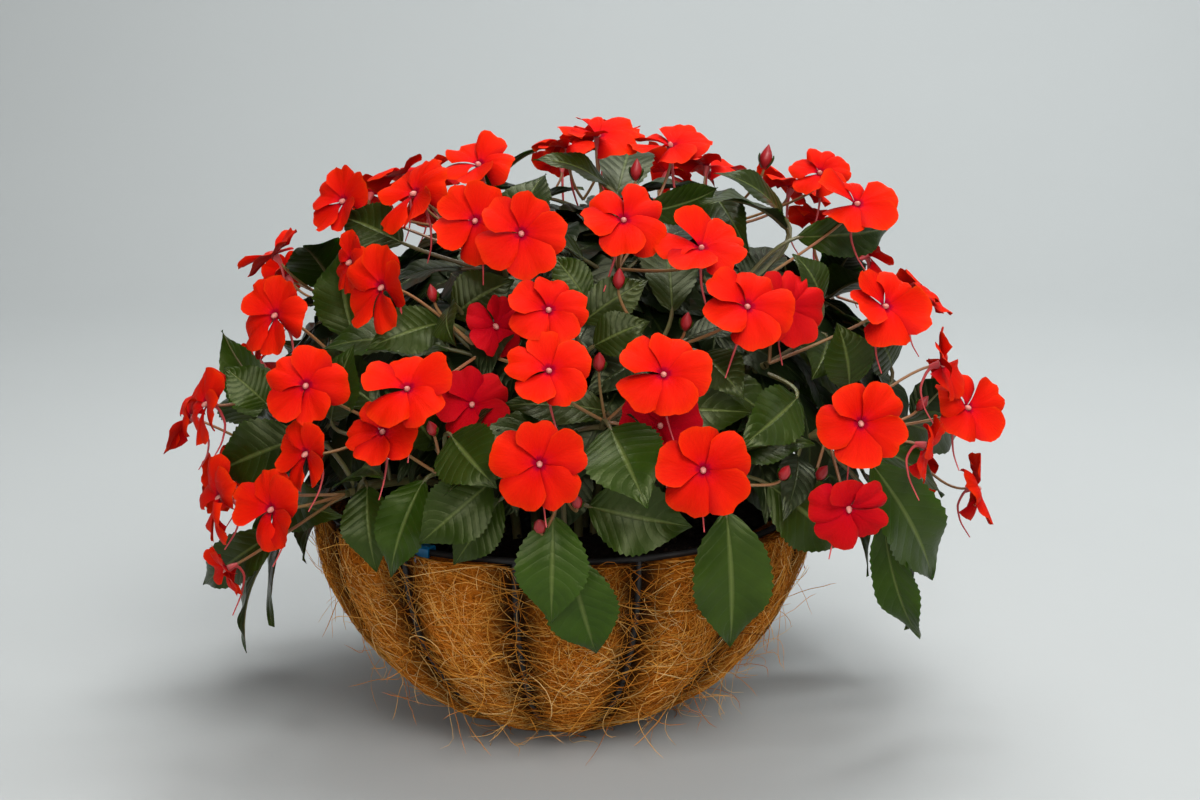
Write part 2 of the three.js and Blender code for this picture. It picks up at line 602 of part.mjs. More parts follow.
function bloomRows() {
  const rows = [];
  const read = (list, far) => {
    for (const [x, z, diameter, right, up, out] of list)
      rows.push({ diameter, face: facing(right, up), where: (shift) => onDome(x, z, out + shift, far) });
  };
  read(NEAR_BLOOMS, false);
  read(FAR_BLOOMS, true);
  for (const branch of branches.filter((b) => !b.front))
    for (let i = 0; i < BACK_BLOOMS_PER_TIP; i++) {
      const swing = 0.2 * (i % 2 ? 1 : -1) + 0.16 * (draw(branch.k, i, 1) - 0.5);
      const raise = 0.16 * (i % 2 ? 1 : -0.7) + 0.16 * (draw(branch.k, i, 2) - 0.5);
      const flat = branch.tip.clone().sub(DOME_CENTRE).divide(DOME_RADII).applyAxisAngle(UP, swing);
      const way = flat.add(vec(0, 0, raise * flat.length()));
      const point = domeTowards(way, 0);
      const face = outward(point).addScaledVector(UP, 0.25).normalize();
      const [least, most] = BACK_BLOOM_DIAMETERS;
      const diameter = least + (most - least) * draw(branch.k, i, 3);
      rows.push({ diameter, face, where: (shift) => domeTowards(way, BACK_BLOOM_OUT + shift) });
    }
  return rows;
}

const feet = branches.map((branch) => {
  const way = branch.curve.getTangent(1);
  return branch.tip.clone().addScaledVector(way, FOOT_GAP);
});

// The line of a stalk from a bloom's or bud's neck to the foot of its spray, bowed out a little at later
// attempts.
function stalkLine(neck, way, foot, attempt, back) {
  const turn = attempt * 1.3;
  const spread = attempt === 0 ? 0 : 5 + 1.5 * attempt;
  const side = vec(-way.y, way.x, 0.01).normalize();
  const high = way.clone().cross(side);
  const bend = neck.clone().addScaledVector(way, -back)
    .addScaledVector(side, spread * Math.cos(turn)).addScaledVector(high, spread * Math.sin(turn));
  return new THREE.QuadraticBezierCurve3(neck, bend, foot).getPoints(PEDICEL_STEPS);
}

// The first clear stalk from a neck to the foot of one of the sprays nearest to it.
const missing = [];
function clearStalk(neck, way, back, owner) {
  const unit = unitOf(neck);
  const bearing = branches.filter((b) => inUse.has(b.k));
  bearing.sort((a, b) => unitOf(a.tip).distanceTo(unit) - unitOf(b.tip).distanceTo(unit));
  for (const { k } of bearing.slice(0, 3))
    for (let attempt = 0; attempt < STALK_TRIES; attempt++) {
      const mayTouch = (o) => o.owner === owner || (o.node === bloomName(k) && o.owner === "stalk");
      const line = stalkLine(neck, way, feet[k], attempt, back);
      if (!isClear(rod(line, PEDICEL_RADIUS + FIT_GAP, 3), mayTouch)) continue;
      mark(bloomName(k), rod(line, PEDICEL_RADIUS, 3), "stalk");
      return { k, line };
    }
  missing.push(`stalk of ${owner}`);
  return null;
}

const rows = bloomRows();
const inUse = new Set(rows.map((row) => nearestBranch(row.where(0)).k));
const FOOT_RADIUS = 2.4;
for (const k of inUse) {
  const foot = new THREE.OctahedronGeometry(FOOT_RADIUS).translate(...feet[k]);
  keep(bloomName(k), solidOf(foot), "stalk");
}

const heads = [];
rows.forEach((row, index) => {
  const owner = `bloom ${index}`;
  for (let attempt = 0; attempt < TRIES; attempt++) {
    const roll = rad(90) + 0.9 * (draw(index, 7) - 0.5) + 0.2 * sway(attempt);
    const head = { index, hub: row.where(4 * sway(attempt)), face: row.face, diameter: row.diameter, roll };
    const bare = bloomSolid(head);
    if (!isClear(bare)) continue;
    mark("", bare, owner);
    heads.push({ ...head, owner });
    return;
  }
  missing.push(owner);
});
BUDS.forEach(([x, z, length, out], index) => {
  const owner = `bud ${index}`;
  for (let attempt = 0; attempt < TRIES; attempt++) {
    const middle = onDome(x, z, out + 4 * sway(attempt));
    const bud = { middle, way: outward(middle).add(UP).normalize(), length };
    const bare = budSolid(bud);
    if (!isClear(bare)) continue;
    mark("", bare, owner);
    const stalk = clearStalk(middle.clone().addScaledVector(bud.way, -0.5 * length), bud.way, 12, owner);
    if (stalk) nodes.get(bloomName(stalk.k)).push(budSolid(bud, stalk.line.toReversed()));
    return;
  }
  missing.push(owner);
});
for (const head of heads) {
  const neck = head.hub.clone().addScaledVector(head.face, -NECK_BACK);
  const stalk = clearStalk(neck, head.face, 18, head.owner);
  if (!stalk) continue;
  head.k = stalk.k;
  nodes.get(bloomName(head.k)).push(bloomSolid(head, stalk.line));
}
for (const head of heads.filter(({ k }) => k !== undefined)) {
  const share = Math.abs(head.face.x) > 0.6 ? SPUR_SHARES.side : SPUR_SHARES.front;
  if (draw(head.index, 9) > share) continue;
  const spur = spurSolid(head);
  const own = (o) => o.owner === head.owner || (o.node === bloomName(head.k) && o.owner === "stalk");
  if (isClear(spur, own)) keep(bloomName(head.k), spur, "spur");
}

// The place on a stem from where a leaf's stalk runs on into the blade with the least bend.
const LEAF_ROOT_SHARES = [0.96, 0.9, 0.83, 0.75, 0.66];
function leafRoot({ curve }, base, tip) {
  const along = tip.clone().sub(base).normalize();
  const cost = (p) => -base.clone().sub(p).normalize().dot(along) + p.distanceTo(base) / 80;
  const places = LEAF_ROOT_SHARES.map((share) => curve.getPoint(share));
  return places.reduce((a, b) => (cost(b) < cost(a) ? b : a));
}

// The leaves: those seen from the front, then a whorl under each tip by a rule
function addLeaf(k, candidates, label) {
  const node = stemName(k);
  for (const leaf of candidates) {
    if (!isClear(leafSolid(leaf, 0.5), (other) => other.node === node)) continue;
    const root = leaf.base.clone().lerp(leaf.root, 0.1);
    if (!isClear(leafSolid({ ...leaf, root }), (other) => other.node !== node)) continue;
    keep(node, leafSolid(leaf));
    return;
  }
  missing.push(label);
}

FRONT_LEAVES.forEach(([bx, bz, tx, tz, width, baseOut, tipOut, turn], index) => {
  const branch = nearestBranch(onDome(bx, bz, baseOut));
  const candidates = [];
  for (let attempt = 0; attempt < LEAF_TRIES; attempt++) {
    const shift = 4 * sway(attempt);
    const base = onDome(bx, bz, baseOut + 0.5 * shift);
    const tip = onDome(tx, tz, tipOut + shift);
    const away = outward(base.clone().add(tip).multiplyScalar(0.5));
    const normal = away.add(EYE.clone().sub(base).normalize()).normalize();
    normal.applyAxisAngle(tip.clone().sub(base).normalize(), rad(turn));
    const plain = width < PLAIN_WIDTH;
    candidates.push({ base, tip, width, normal, root: leafRoot(branch, base, tip), plain });
  }
  addLeaf(branch.k, candidates, `front leaf ${index}`);
});

branches.forEach((branch) => {
  const count = branch.front ? FRONT_FILL_LEAVES : BACK_FILL_LEAVES;
  for (let i = 0; i < count; i++) {
    const candidates = [];
    for (let attempt = 0; attempt < LEAF_TRIES; attempt++) {
      const share = 0.95 - 0.09 * i;
      const root = branch.curve.getPoint(share);
      const stem = branch.curve.getTangent(share);
      const side = vec(stem.y, -stem.x, 0.01).normalize();
      const round = 2.4 * i + 6.3 * draw(branch.k, i, 21) + 0.35 * sway(attempt);
      const spread = side.applyAxisAngle(stem, round);
      const way = spread.clone()
        .addScaledVector(stem, 0.45 - 0.05 * i)
        .addScaledVector(UP, -0.1)
        .normalize();
      const length = (84 + 24 * draw(branch.k, i, 22)) * (1 - 0.02 * attempt);
      const base = root.clone().addScaledVector(way, 18 + 8 * draw(branch.k, i, 23));
      const tip = base.clone().addScaledVector(way, length).addScaledVector(UP, -0.3 * length);
      if (tip.z < (branch.front ? FILL_TIP_LOWEST.front : FILL_TIP_LOWEST.back)) continue;
      const normal = UP.clone().add(outward(base)).normalize();
      candidates.push({ base, tip, width: 0.46 * length, normal, root, plain: true });
    }
    addLeaf(branch.k, candidates, `fill leaf ${branch.k} ${i}`);
  }
});

// The whole object
const colours = { wire_frame: "wire", coir_liner: "coir", soil: "soil", rim_clip: "clip" };
const plant = new THREE.Group();
for (const [name, parts] of nodes) {
  // A hollow that fusing sealed is filled, and a loose scrap is dropped.
  const bodies = wasm.Manifold.union(parts).decompose().filter((body) => body.volume() > SCRAP_MM3);
  if (bodies.length > 1) missing.push(`${name} in ${bodies.length}`);
  const solid = wasm.Manifold.union(bodies);
  const colour = colours[name] ?? (name.startsWith("blooms") ? "petal" : "leaf");
  plant.add(meshOf(name, solid, materials[colour]));
}
plant.userData.leftOut = missing;

export default plant;
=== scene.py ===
import math

import bpy
import numpy as np
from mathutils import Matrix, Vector, kdtree


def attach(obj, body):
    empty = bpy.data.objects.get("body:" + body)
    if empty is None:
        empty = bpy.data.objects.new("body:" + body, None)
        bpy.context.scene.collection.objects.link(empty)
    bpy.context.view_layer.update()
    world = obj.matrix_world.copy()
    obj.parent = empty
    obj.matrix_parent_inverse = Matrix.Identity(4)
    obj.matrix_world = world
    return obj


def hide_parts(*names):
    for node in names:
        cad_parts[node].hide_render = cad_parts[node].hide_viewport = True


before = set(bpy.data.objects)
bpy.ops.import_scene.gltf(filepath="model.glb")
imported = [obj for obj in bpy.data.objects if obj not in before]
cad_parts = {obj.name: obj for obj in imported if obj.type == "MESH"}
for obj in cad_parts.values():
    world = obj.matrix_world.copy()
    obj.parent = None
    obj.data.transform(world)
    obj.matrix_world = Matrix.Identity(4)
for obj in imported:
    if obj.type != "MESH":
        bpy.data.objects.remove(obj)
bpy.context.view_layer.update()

MM = 0.001

# Basket
RIM_HEIGHT = 158.0
BOWL_RADIUS = 178.0
BOWL_DEPTH = 166.0
RIB_COUNT = 13
FIRST_RIB_DEG = -10.8
WIRE_RADIUS = 2.2
WIRE_CLEARANCE = 1.2
GROOVE_DEPTH = 12.0
LOW_GROOVE_DEPTH = 8.0
COIR_WALL = 22.0
COIR_TOP = 154.8
SOIL_TOP = 146.0
BASE_RING_RADIUS = 46.0
BASE_RING_HEIGHT = 2.6
BASE_PAD = [(4, 11.0), (-5, 11.0), (-8, 0.0), (-45.9, 0.0)]  # mm outside the base ring, height

# Plant
DOME_CENTRE = np.array([15.0, 0.0, 190.0])
DOME_RADII = np.array([296.0, 255.0, 240.0])
EYE = np.array([0.0, -1547.0, 567.0])
STEM_RADIUS = 3.4
PEDICEL_RADIUS = 1.0
STEM_ROOT_HEIGHT = 131.0
TIP_OUT = -62.0
FOOT_GAP = 3.2
HUB_RADIUS = 2.8
NECK_BACK = 7.0
TRIES = 12
STALK_TRIES = 36
LEAF_TRIES = 20
LEAF_ROOT_SHARES = [0.96, 0.9, 0.83, 0.75, 0.66]

# Branch tips seen from the front: x and z in the upright plane through the origin
FRONT_TIPS = [
    [35, 222], [160, 352], [-78, 292], [185, 280], [-5, 150], [-165, 216], [-208, 150], [240, 208],
    [122, 164], [46, 372], [-60, 376], [-205, 280], [-118, 168], [80, 290],
]
# x, z, diameter, facing (degrees right of the front, degrees up), mm outside the dome
NEAR_BLOOMS = [
    [-153, 372, 50, -42, 28, 0], [-103, 377, 60, -55, 38, 0], [-58, 397, 52, -28, 58, 0],
    [-61, 358, 54, -12, 24, -4], [-29, 349, 57, 8, 22, 12], [25, 417, 56, 20, 74, 0],
    [76, 410, 56, -15, 76, 0], [43, 358, 56, 10, 42, 4], [-127, 311, 58, -46, 10, 0],
    [-203, 291, 56, -36, 20, 0], [-183, 240, 54, -12, 26, 6], [-254, 227, 54, -60, 14, 0],
    [-111, 237, 56, -6, 48, 16], [-129, 206, 50, -12, 36, 0], [-184, 190, 48, -50, 10, 0],
    [-210, 149, 56, -40, 12, 6], [-247, 158, 62, -70, 4, 0], [-244, 104, 42, -60, -20, -10],
    [-65, 226, 50, 0, 20, -45], [-10, 294, 50, 6, 38, 0], [-10, 250, 53, 8, 42, 6],
    [-48, 283, 42, 30, 10, -50], [-17, 182, 59, 0, 18, 8], [72, 247, 58, 4, 38, 8],
    [101, 177, 60, 2, 15, 8], [98, 338, 58, 6, 54, 0], [131, 296, 59, 10, 40, 8],
    [160, 296, 52, 20, 10, -24], [181, 391, 44, -15, 48, -8], [207, 369, 60, 30, 50, 6],
    [229, 296, 58, 28, 38, 4], [270, 254, 52, 78, 15, 0], [290, 222, 54, 40, 32, 4],
    [262, 194, 46, 75, -10, -8], [214, 211, 57, 8, 14, 6], [207, 148, 52, 4, -14, 0],
    [70, 210, 52, -4, 20, -32], [-149, 329, 44, -60, 10, -16],
]
FAR_BLOOMS = [
    [0, 398, 48, 180, 60, 0], [74, 391, 54, 130, 35, 0], [-194, 320, 46, -150, 30, 0],
    [216, 333, 58, 110, 25, 0], [-134, 377, 46, 170, 35, 0],
]
# x, z, length, mm outside the dome
BUDS = [
    [143, 402, 17, -8], [40, 316, 15, -8], [26, 256, 15, -14], [88, 285, 14, -30], [-17, 135, 15, -20],
    [10, 153, 13, -28], [160, 174, 14, -26], [187, 174, 14, -36], [-94, 208, 13, -14], [-92, 306, 13, -20],
    [52, 393, 15, -10], [258, 225, 13, -20],
]
# base x, z, tip x, z, width, base and tip mm outside the dome, turn in degrees
FRONT_LEAVES = [
    [118, 146, 122, 42, 50, -52, -42, 0], [-7, 143, -9, 61, 44, -50, -38, 0],
    [4, 112, 24, 37, 45, -64, -54, 0],
    [-141, 166, -136, 101, 34, -55, -45, 0], [-100, 170, -126, 97, 36, -50, -38, 15],
    [-52, 168, -105, 122, 40, -48, -35, 0], [18, 150, 94, 134, 46, -50, -38, 0],
    [34, 208, 61, 148, 48, -45, -18, 0],
    [222, 182, 269, 93, 46, -48, -22, 0], [232, 140, 262, 48, 30, -50, -30, 50],
    [148, 166, 205, 118, 44, -55, -42, 0], [-208, 132, -262, 92, 32, -50, -18, 0],
    [-212, 120, -233, 40, 28, -52, -35, 60], [-45, 156, -80, 106, 30, -62, -56, 0],
    [-205, 162, -158, 143, 36, -58, -42, 0], [-80, 203, -48, 164, 42, -30, -10, 0],
    [-85, 285, -140, 266, 32, -42, -15, 0], [-78, 298, -76, 268, 24, -35, -12, 40],
    [-78, 290, -34, 316, 36, -38, -20, 0], [14, 285, 61, 316, 28, -38, -20, 0],
    [18, 300, -7, 334, 24, -38, -25, 0],
    [52, 222, 137, 219, 36, -42, -18, 0], [32, 220, -46, 224, 28, -42, -15, 20],
    [168, 230, 126, 192, 36, -45, -30, 0], [188, 274, 178, 243, 38, -45, -20, 0],
    [165, 346, 233, 353, 30, -30, -5, 40], [184, 300, 163, 334, 26, -20, -4, 20],
    [158, 352, 97, 371, 28, -30, -8, 45], [156, 360, 107, 392, 28, -32, -15, 20],
    [58, 364, 110, 381, 26, -32, -15, 50], [104, 378, 133, 332, 24, -32, -20, 20],
    [38, 374, 50, 412, 36, -42, -32, 0], [32, 382, -20, 401, 28, -30, -10, 30],
    [-112, 342, -156, 361, 34, -34, -10, 0], [240, 213, 287, 205, 30, -38, -15, 30],
    [-211, 226, -241, 254, 28, -34, -5, 20], [-186, 202, -250, 176, 42, -38, -10, 0],
    [-166, 214, -148, 270, 32, -38, -15, 0], [235, 252, 215, 285, 40, -46, -34, 0],
    [205, 238, 195, 285, 36, -52, -42, 0], [78, 292, 70, 350, 36, -48, -36, 0],
    [22, 268, 62, 286, 28, -48, -36, 0],
    [100, 262, 130, 229, 30, -42, -25, 0],
]
BACK_RINGS = [[90, 6, 95, 265], [54, 4, 105, 255], [32, 2, 130, 230], [10, 1, 180, 180]]
BACK_BLOOMS_PER_TIP = 2
BACK_BLOOM_OUT = -14.0
BACK_BLOOM_DIAMETERS = (50.0, 62.0)
PETAL_LENGTHS = [0.92, 1.0, 1.04, 1.04, 1.0]
PETALS = len(PETAL_LENGTHS)
FRONT_FILL_LEAVES = 1
BACK_FILL_LEAVES = 5

INNER_LEAVES = 9  # smaller leaves that a rule adds along each stem, inside the plant
INNER_TIP_LOWEST = 176.0
SHELL_LEAVES = 290
SHELL_POLAR_DEG = 115.0
SHELL_OUT = -66.0
GOLDEN_ANGLE = 2.39996
FIBRES_PER_PIECE = 3700
FIBRE_SIDES = 3
LOOSE_FIBRES = 560
SOIL_CRUMBS = 420
# Rows of FRONT_LEAVES that are a lighter green, and of NEAR_BLOOMS that sit back in the shade and get
# painted shade: how much
FRESH_LEAVES = {0: 0.55, 1: 0.85, 2: 0.95, 3: 0.45, 4: 0.6, 6: 0.35, 7: 0.5, 8: 0.5, 9: 0.8, 14: 0.3}
SHADED_BLOOMS = {18: 0.7, 21: 0.7, 27: 0.5, 35: 0.6, 36: 0.8}
SEED = 20

UP = np.array([0.0, 0.0, 1.0])
MASK = 0xFFFFFFFF
PLAIN = (0.5, 0.5)  # the tone of pieces whose material has none

# Stage and camera, in metres
SWEEP_FRONT = -4.7
SWEEP_BACK = 1.7
SWEEP_BEND = 1.3
SWEEP_HALF_WIDTH = 5.0
SWEEP_TOP = 4.2
CAMERA_PLACE = (0.0, -1.5469, 0.5667)
CAMERA_DOWN_DEG = 12.3244
CAMERA_RIGHT_DEG = 0.98454
CAMERA_LENS = 66.336


def draw(*keys):
    h = 2166136261
    for key in keys:
        h = ((h ^ key) * 16777619) & MASK
    h = ((h ^ (h >> 15)) * 2246822519) & MASK
    h = ((h ^ (h >> 13)) * 3266489917) & MASK
    return ((h ^ (h >> 16)) & MASK) / 4294967296


def vec(*values):
    return np.array(values, float)


def unit(v):
    return v / np.linalg.norm(v)


def units(v):
    return v / np.maximum(np.linalg.norm(v, axis=-1, keepdims=True), 1e-9)


def joined(*values):
    return np.stack(np.broadcast_arrays(*values), -1)


def grid_quads(rows, cols):
    index = np.arange(rows * cols).reshape(rows, cols)
    return np.stack([index[:-1, :-1], index[:-1, 1:], index[1:, 1:], index[1:, :-1]], -1)


def show(name, data):
    obj = bpy.data.objects.new(name, data)
    bpy.context.scene.collection.objects.link(obj)
    return obj


def rotate(v, axis, angle):
    axis = unit(axis)
    c, s = math.cos(angle), math.sin(angle)
    return v * c + np.cross(axis, v) * s + axis * np.dot(axis, v) * (1 - c)


def sway(n):
    return (n + 1) / 2 if n % 2 else -n / 2


def bezier(p0, p1, p2, t):
    t = np.asarray(t, float)[..., None]
    return (1 - t) ** 2 * p0 + 2 * t * (1 - t) * p1 + t ** 2 * p2


# The dome's places
def on_dome(x, z, out, far=False):
    radii = DOME_RADII + out
    start = (EYE - DOME_CENTRE) / radii
    way = (vec(x, 0, z) - EYE) / radii
    a, b, c = way @ way, start @ way, start @ start - 1
    root = math.sqrt(max(0.0, b * b - a * c))
    t = (-b + (root if far else -root)) / a
    return (start + way * t) * radii + DOME_CENTRE


def dome_towards(direction, out):
    return unit(direction) * (DOME_RADII + out) + DOME_CENTRE


def outward(point):
    return unit((point - DOME_CENTRE) / DOME_RADII / DOME_RADII)


def unit_of(point):
    return unit((point - DOME_CENTRE) / DOME_RADII)


def facing(right_deg, up_deg):
    right, up = math.radians(right_deg), math.radians(up_deg)
    return vec(math.sin(right) * math.cos(up), -math.cos(right) * math.cos(up), math.sin(up))


# Branches
class Branch:
    def __init__(self, k, tip):
        way = tip - vec(0, 0, SOIL_TOP)
        polar = math.acos(way[2] / np.linalg.norm(way))
        reach = 18 + 80 * (polar / (math.pi / 2))
        flat = unit(vec(way[0], way[1], 0))
        self.k = k
        self.tip = tip
        self.root = flat * reach + UP * (SOIL_TOP + 3)
        self.bend = flat * reach * 1.1 + UP * max(tip[2] * 0.8, 205)
        self.front = k < len(FRONT_TIPS)
        self.foot = tip + unit(tip - self.bend) * FOOT_GAP

    def point(self, t):
        return bezier(self.root, self.bend, self.tip, t)

    def tangent(self, t):
        return unit((1 - t) * (self.bend - self.root) + t * (self.tip - self.bend))


def branch_list():
    tips = [dome_towards(unit_of(on_dome(x, z, 0)), TIP_OUT) for x, z in FRONT_TIPS]
    for polar, number, first, last in BACK_RINGS:
        for i in range(number):
            right = first + (last - first) * i / max(number - 1, 1)
            tips.append(dome_towards(facing(right, 90 - polar), TIP_OUT))
    return [Branch(k, tip) for k, tip in enumerate(tips)]


branches = branch_list()


def nearest_branch(point):
    way = unit_of(point)
    return min(branches, key=lambda b: np.linalg.norm(unit_of(b.tip) - way))


# The corners of the solids, to find again what was kept
def corner_tree(names):
    co = []
    for name in names:
        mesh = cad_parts[name].data
        a = np.zeros(len(mesh.vertices) * 3, np.float32)
        mesh.vertices.foreach_get("co", a)
        co.append(a.reshape(-1, 3) / MM)
    co = np.concatenate(co)
    tree = kdtree.KDTree(len(co))
    for i, p in enumerate(co):
        tree.insert(Vector(p), i)
    tree.balance()
    return tree


def has_corner(tree, point, within=0.02):
    return tree.find(Vector(point))[2] < within


def stem_name(k):
    return f"leafy_stem_{k + 1:02d}"


def bloom_name(k):
    return f"blooms_{k + 1:02d}"


stem_trees = {b.k: corner_tree([stem_name(b.k)]) for b in branches}
bloom_nodes = {b.k: bloom_name(b.k) for b in branches if bloom_name(b.k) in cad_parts}
bloom_trees = {k: corner_tree([name]) for k, name in bloom_nodes.items()}
all_blooms = corner_tree(bloom_nodes.values())


def bloom_rows():
    rows = []
    for table, far in ((NEAR_BLOOMS, False), (FAR_BLOOMS, True)):
        for x, z, diameter, right, up, out in table:
            rows.append((diameter, facing(right, up),
                         lambda shift, x=x, z=z, out=out, far=far: on_dome(x, z, out + shift, far)))
    for b in branches:
        if b.front:
            continue
        for i in range(BACK_BLOOMS_PER_TIP):
            swing = 0.2 * (1 if i % 2 else -1) + 0.16 * (draw(b.k, i, 1) - 0.5)
            lift = 0.16 * (1 if i % 2 else -0.7) + 0.16 * (draw(b.k, i, 2) - 0.5)
            flat = rotate((b.tip - DOME_CENTRE) / DOME_RADII, UP, swing)
            way = flat + UP * lift * np.linalg.norm(flat)
            face = unit(outward(dome_towards(way, 0)) + UP * 0.25)
            least, most = BACK_BLOOM_DIAMETERS
            diameter = least + (most - least) * draw(b.k, i, 3)
            rows.append((diameter, face, lambda shift, way=way: dome_towards(way, BACK_BLOOM_OUT + shift)))
    return rows


def petal_lean(index, k):
    return 0.04 + 0.16 * draw(index, 31) + 0.07 * math.cos(2 * k * math.radians(72) + 6.3 * draw(index, 32))


def bloom_axes(face):
    side = vec(1, 0, 0) if abs(face[2]) > 0.99 else unit(np.cross(UP, face))
    return side, np.cross(face, side)


def stalk_curve(neck, way, foot, attempt, back):
    turn = attempt * 1.3
    spread = 0 if attempt == 0 else 5 + 1.5 * attempt
    side = unit(vec(-way[1], way[0], 0.01))
    high = np.cross(way, side)
    bend = neck - way * back + side * spread * math.cos(turn) + high * spread * math.sin(turn)
    return neck, bend, foot


def find_stalk(neck, way, back):
    here = unit_of(neck)
    bearing = sorted((b for b in branches if b.k in bloom_nodes),
                     key=lambda b: np.linalg.norm(unit_of(b.tip) - here))
    for b in bearing[:3]:
        for attempt in range(STALK_TRIES):
            curve = stalk_curve(neck, way, b.foot, attempt, back)
            middle = bezier(*curve, 0.5)
            near = bloom_trees[b.k].find_range(Vector(middle), PEDICEL_RADIUS + 0.02)
            if sum(abs(d - PEDICEL_RADIUS) < 0.01 for _, _, d in near) >= 3:
                return b.k, curve
    return None


def find_blooms():
    found = []
    for index, (diameter, face, where) in enumerate(bloom_rows()):
        side, high = bloom_axes(face)
        R = diameter / 2
        for attempt in range(TRIES):
            roll = math.radians(90) + 0.9 * (draw(index, 7) - 0.5) + 0.2 * sway(attempt)
            hub = where(4 * sway(attempt))
            reach = 0.89 * PETAL_LENGTHS[0]
            rise = 0.01 + petal_lean(index, 0) * reach
            notch = hub + R * (reach * (side * math.cos(roll) + high * math.sin(roll)) + face * rise)
            if not has_corner(all_blooms, notch):
                continue
            stalk = find_stalk(hub - face * NECK_BACK, face, 18)
            if stalk:
                k, curve = stalk
                found.append(dict(index=index, hub=hub, face=face, R=R, roll=roll, k=k, stalk=curve))
            break
    return found


def find_buds():
    found = []
    for index, (x, z, length, out) in enumerate(BUDS):
        for attempt in range(TRIES):
            middle = on_dome(x, z, out + 4 * sway(attempt))
            way = unit(outward(middle) + UP)
            stalk = find_stalk(middle - way * 0.5 * length, way, 12)
            if stalk:
                k, curve = stalk
                found.append(dict(index=index, middle=middle, way=way, length=length, k=k, stalk=curve))
                break
    return found


def leaf_root(branch, base, tip):
    along = unit(tip - base)

    def cost(p):
        return -unit(base - p) @ along + np.linalg.norm(p - base) / 80
    return min((branch.point(share) for share in LEAF_ROOT_SHARES), key=cost)


def fill_leaf(b, i, attempt, share, opening, size, key):
    root = b.point(share)
    stem = b.tangent(share)
    side = unit(vec(stem[1], -stem[0], 0.01))
    turn = 2.4 * i + 6.3 * draw(b.k, i, key) + 0.35 * sway(attempt)
    way = unit(rotate(side, stem, turn) + stem * opening - UP * 0.1)
    length = (size + 24 * draw(b.k, i, key + 1)) * (1 - 0.02 * attempt)
    base = root + way * (18 + 8 * draw(b.k, i, key + 2))
    tip = base + way * length - UP * 0.3 * length
    return dict(base=base, tip=tip, width=0.46 * length, normal=unit(UP + outward(base)), root=root)


def find_leaves():
    found = []
    for index, (bx, bz, tx, tz, width, base_out, tip_out, turn) in enumerate(FRONT_LEAVES):
        b = nearest_branch(on_dome(bx, bz, base_out))
        for attempt in range(LEAF_TRIES):
            shift = 4 * sway(attempt)
            base = on_dome(bx, bz, base_out + 0.5 * shift)
            tip = on_dome(tx, tz, tip_out + shift)
            if not has_corner(stem_trees[b.k], tip):
                continue
            normal = unit(outward((base + tip) / 2) + unit(EYE - base))
            normal = rotate(normal, tip - base, math.radians(turn))
            found.append(dict(base=base, tip=tip, width=width, normal=normal, root=leaf_root(b, base, tip),
                              k=b.k, key=index))
            break
    for b in branches:
        for i in range(FRONT_FILL_LEAVES if b.front else BACK_FILL_LEAVES):
            for attempt in range(LEAF_TRIES):
                leaf = fill_leaf(b, i, attempt, 0.95 - 0.09 * i, 0.45 - 0.05 * i, 84, 21)
                if has_corner(stem_trees[b.k], leaf["tip"]):
                    found.append({**leaf, "k": b.k, "key": 100 + 10 * b.k + i})
                    break
    return found


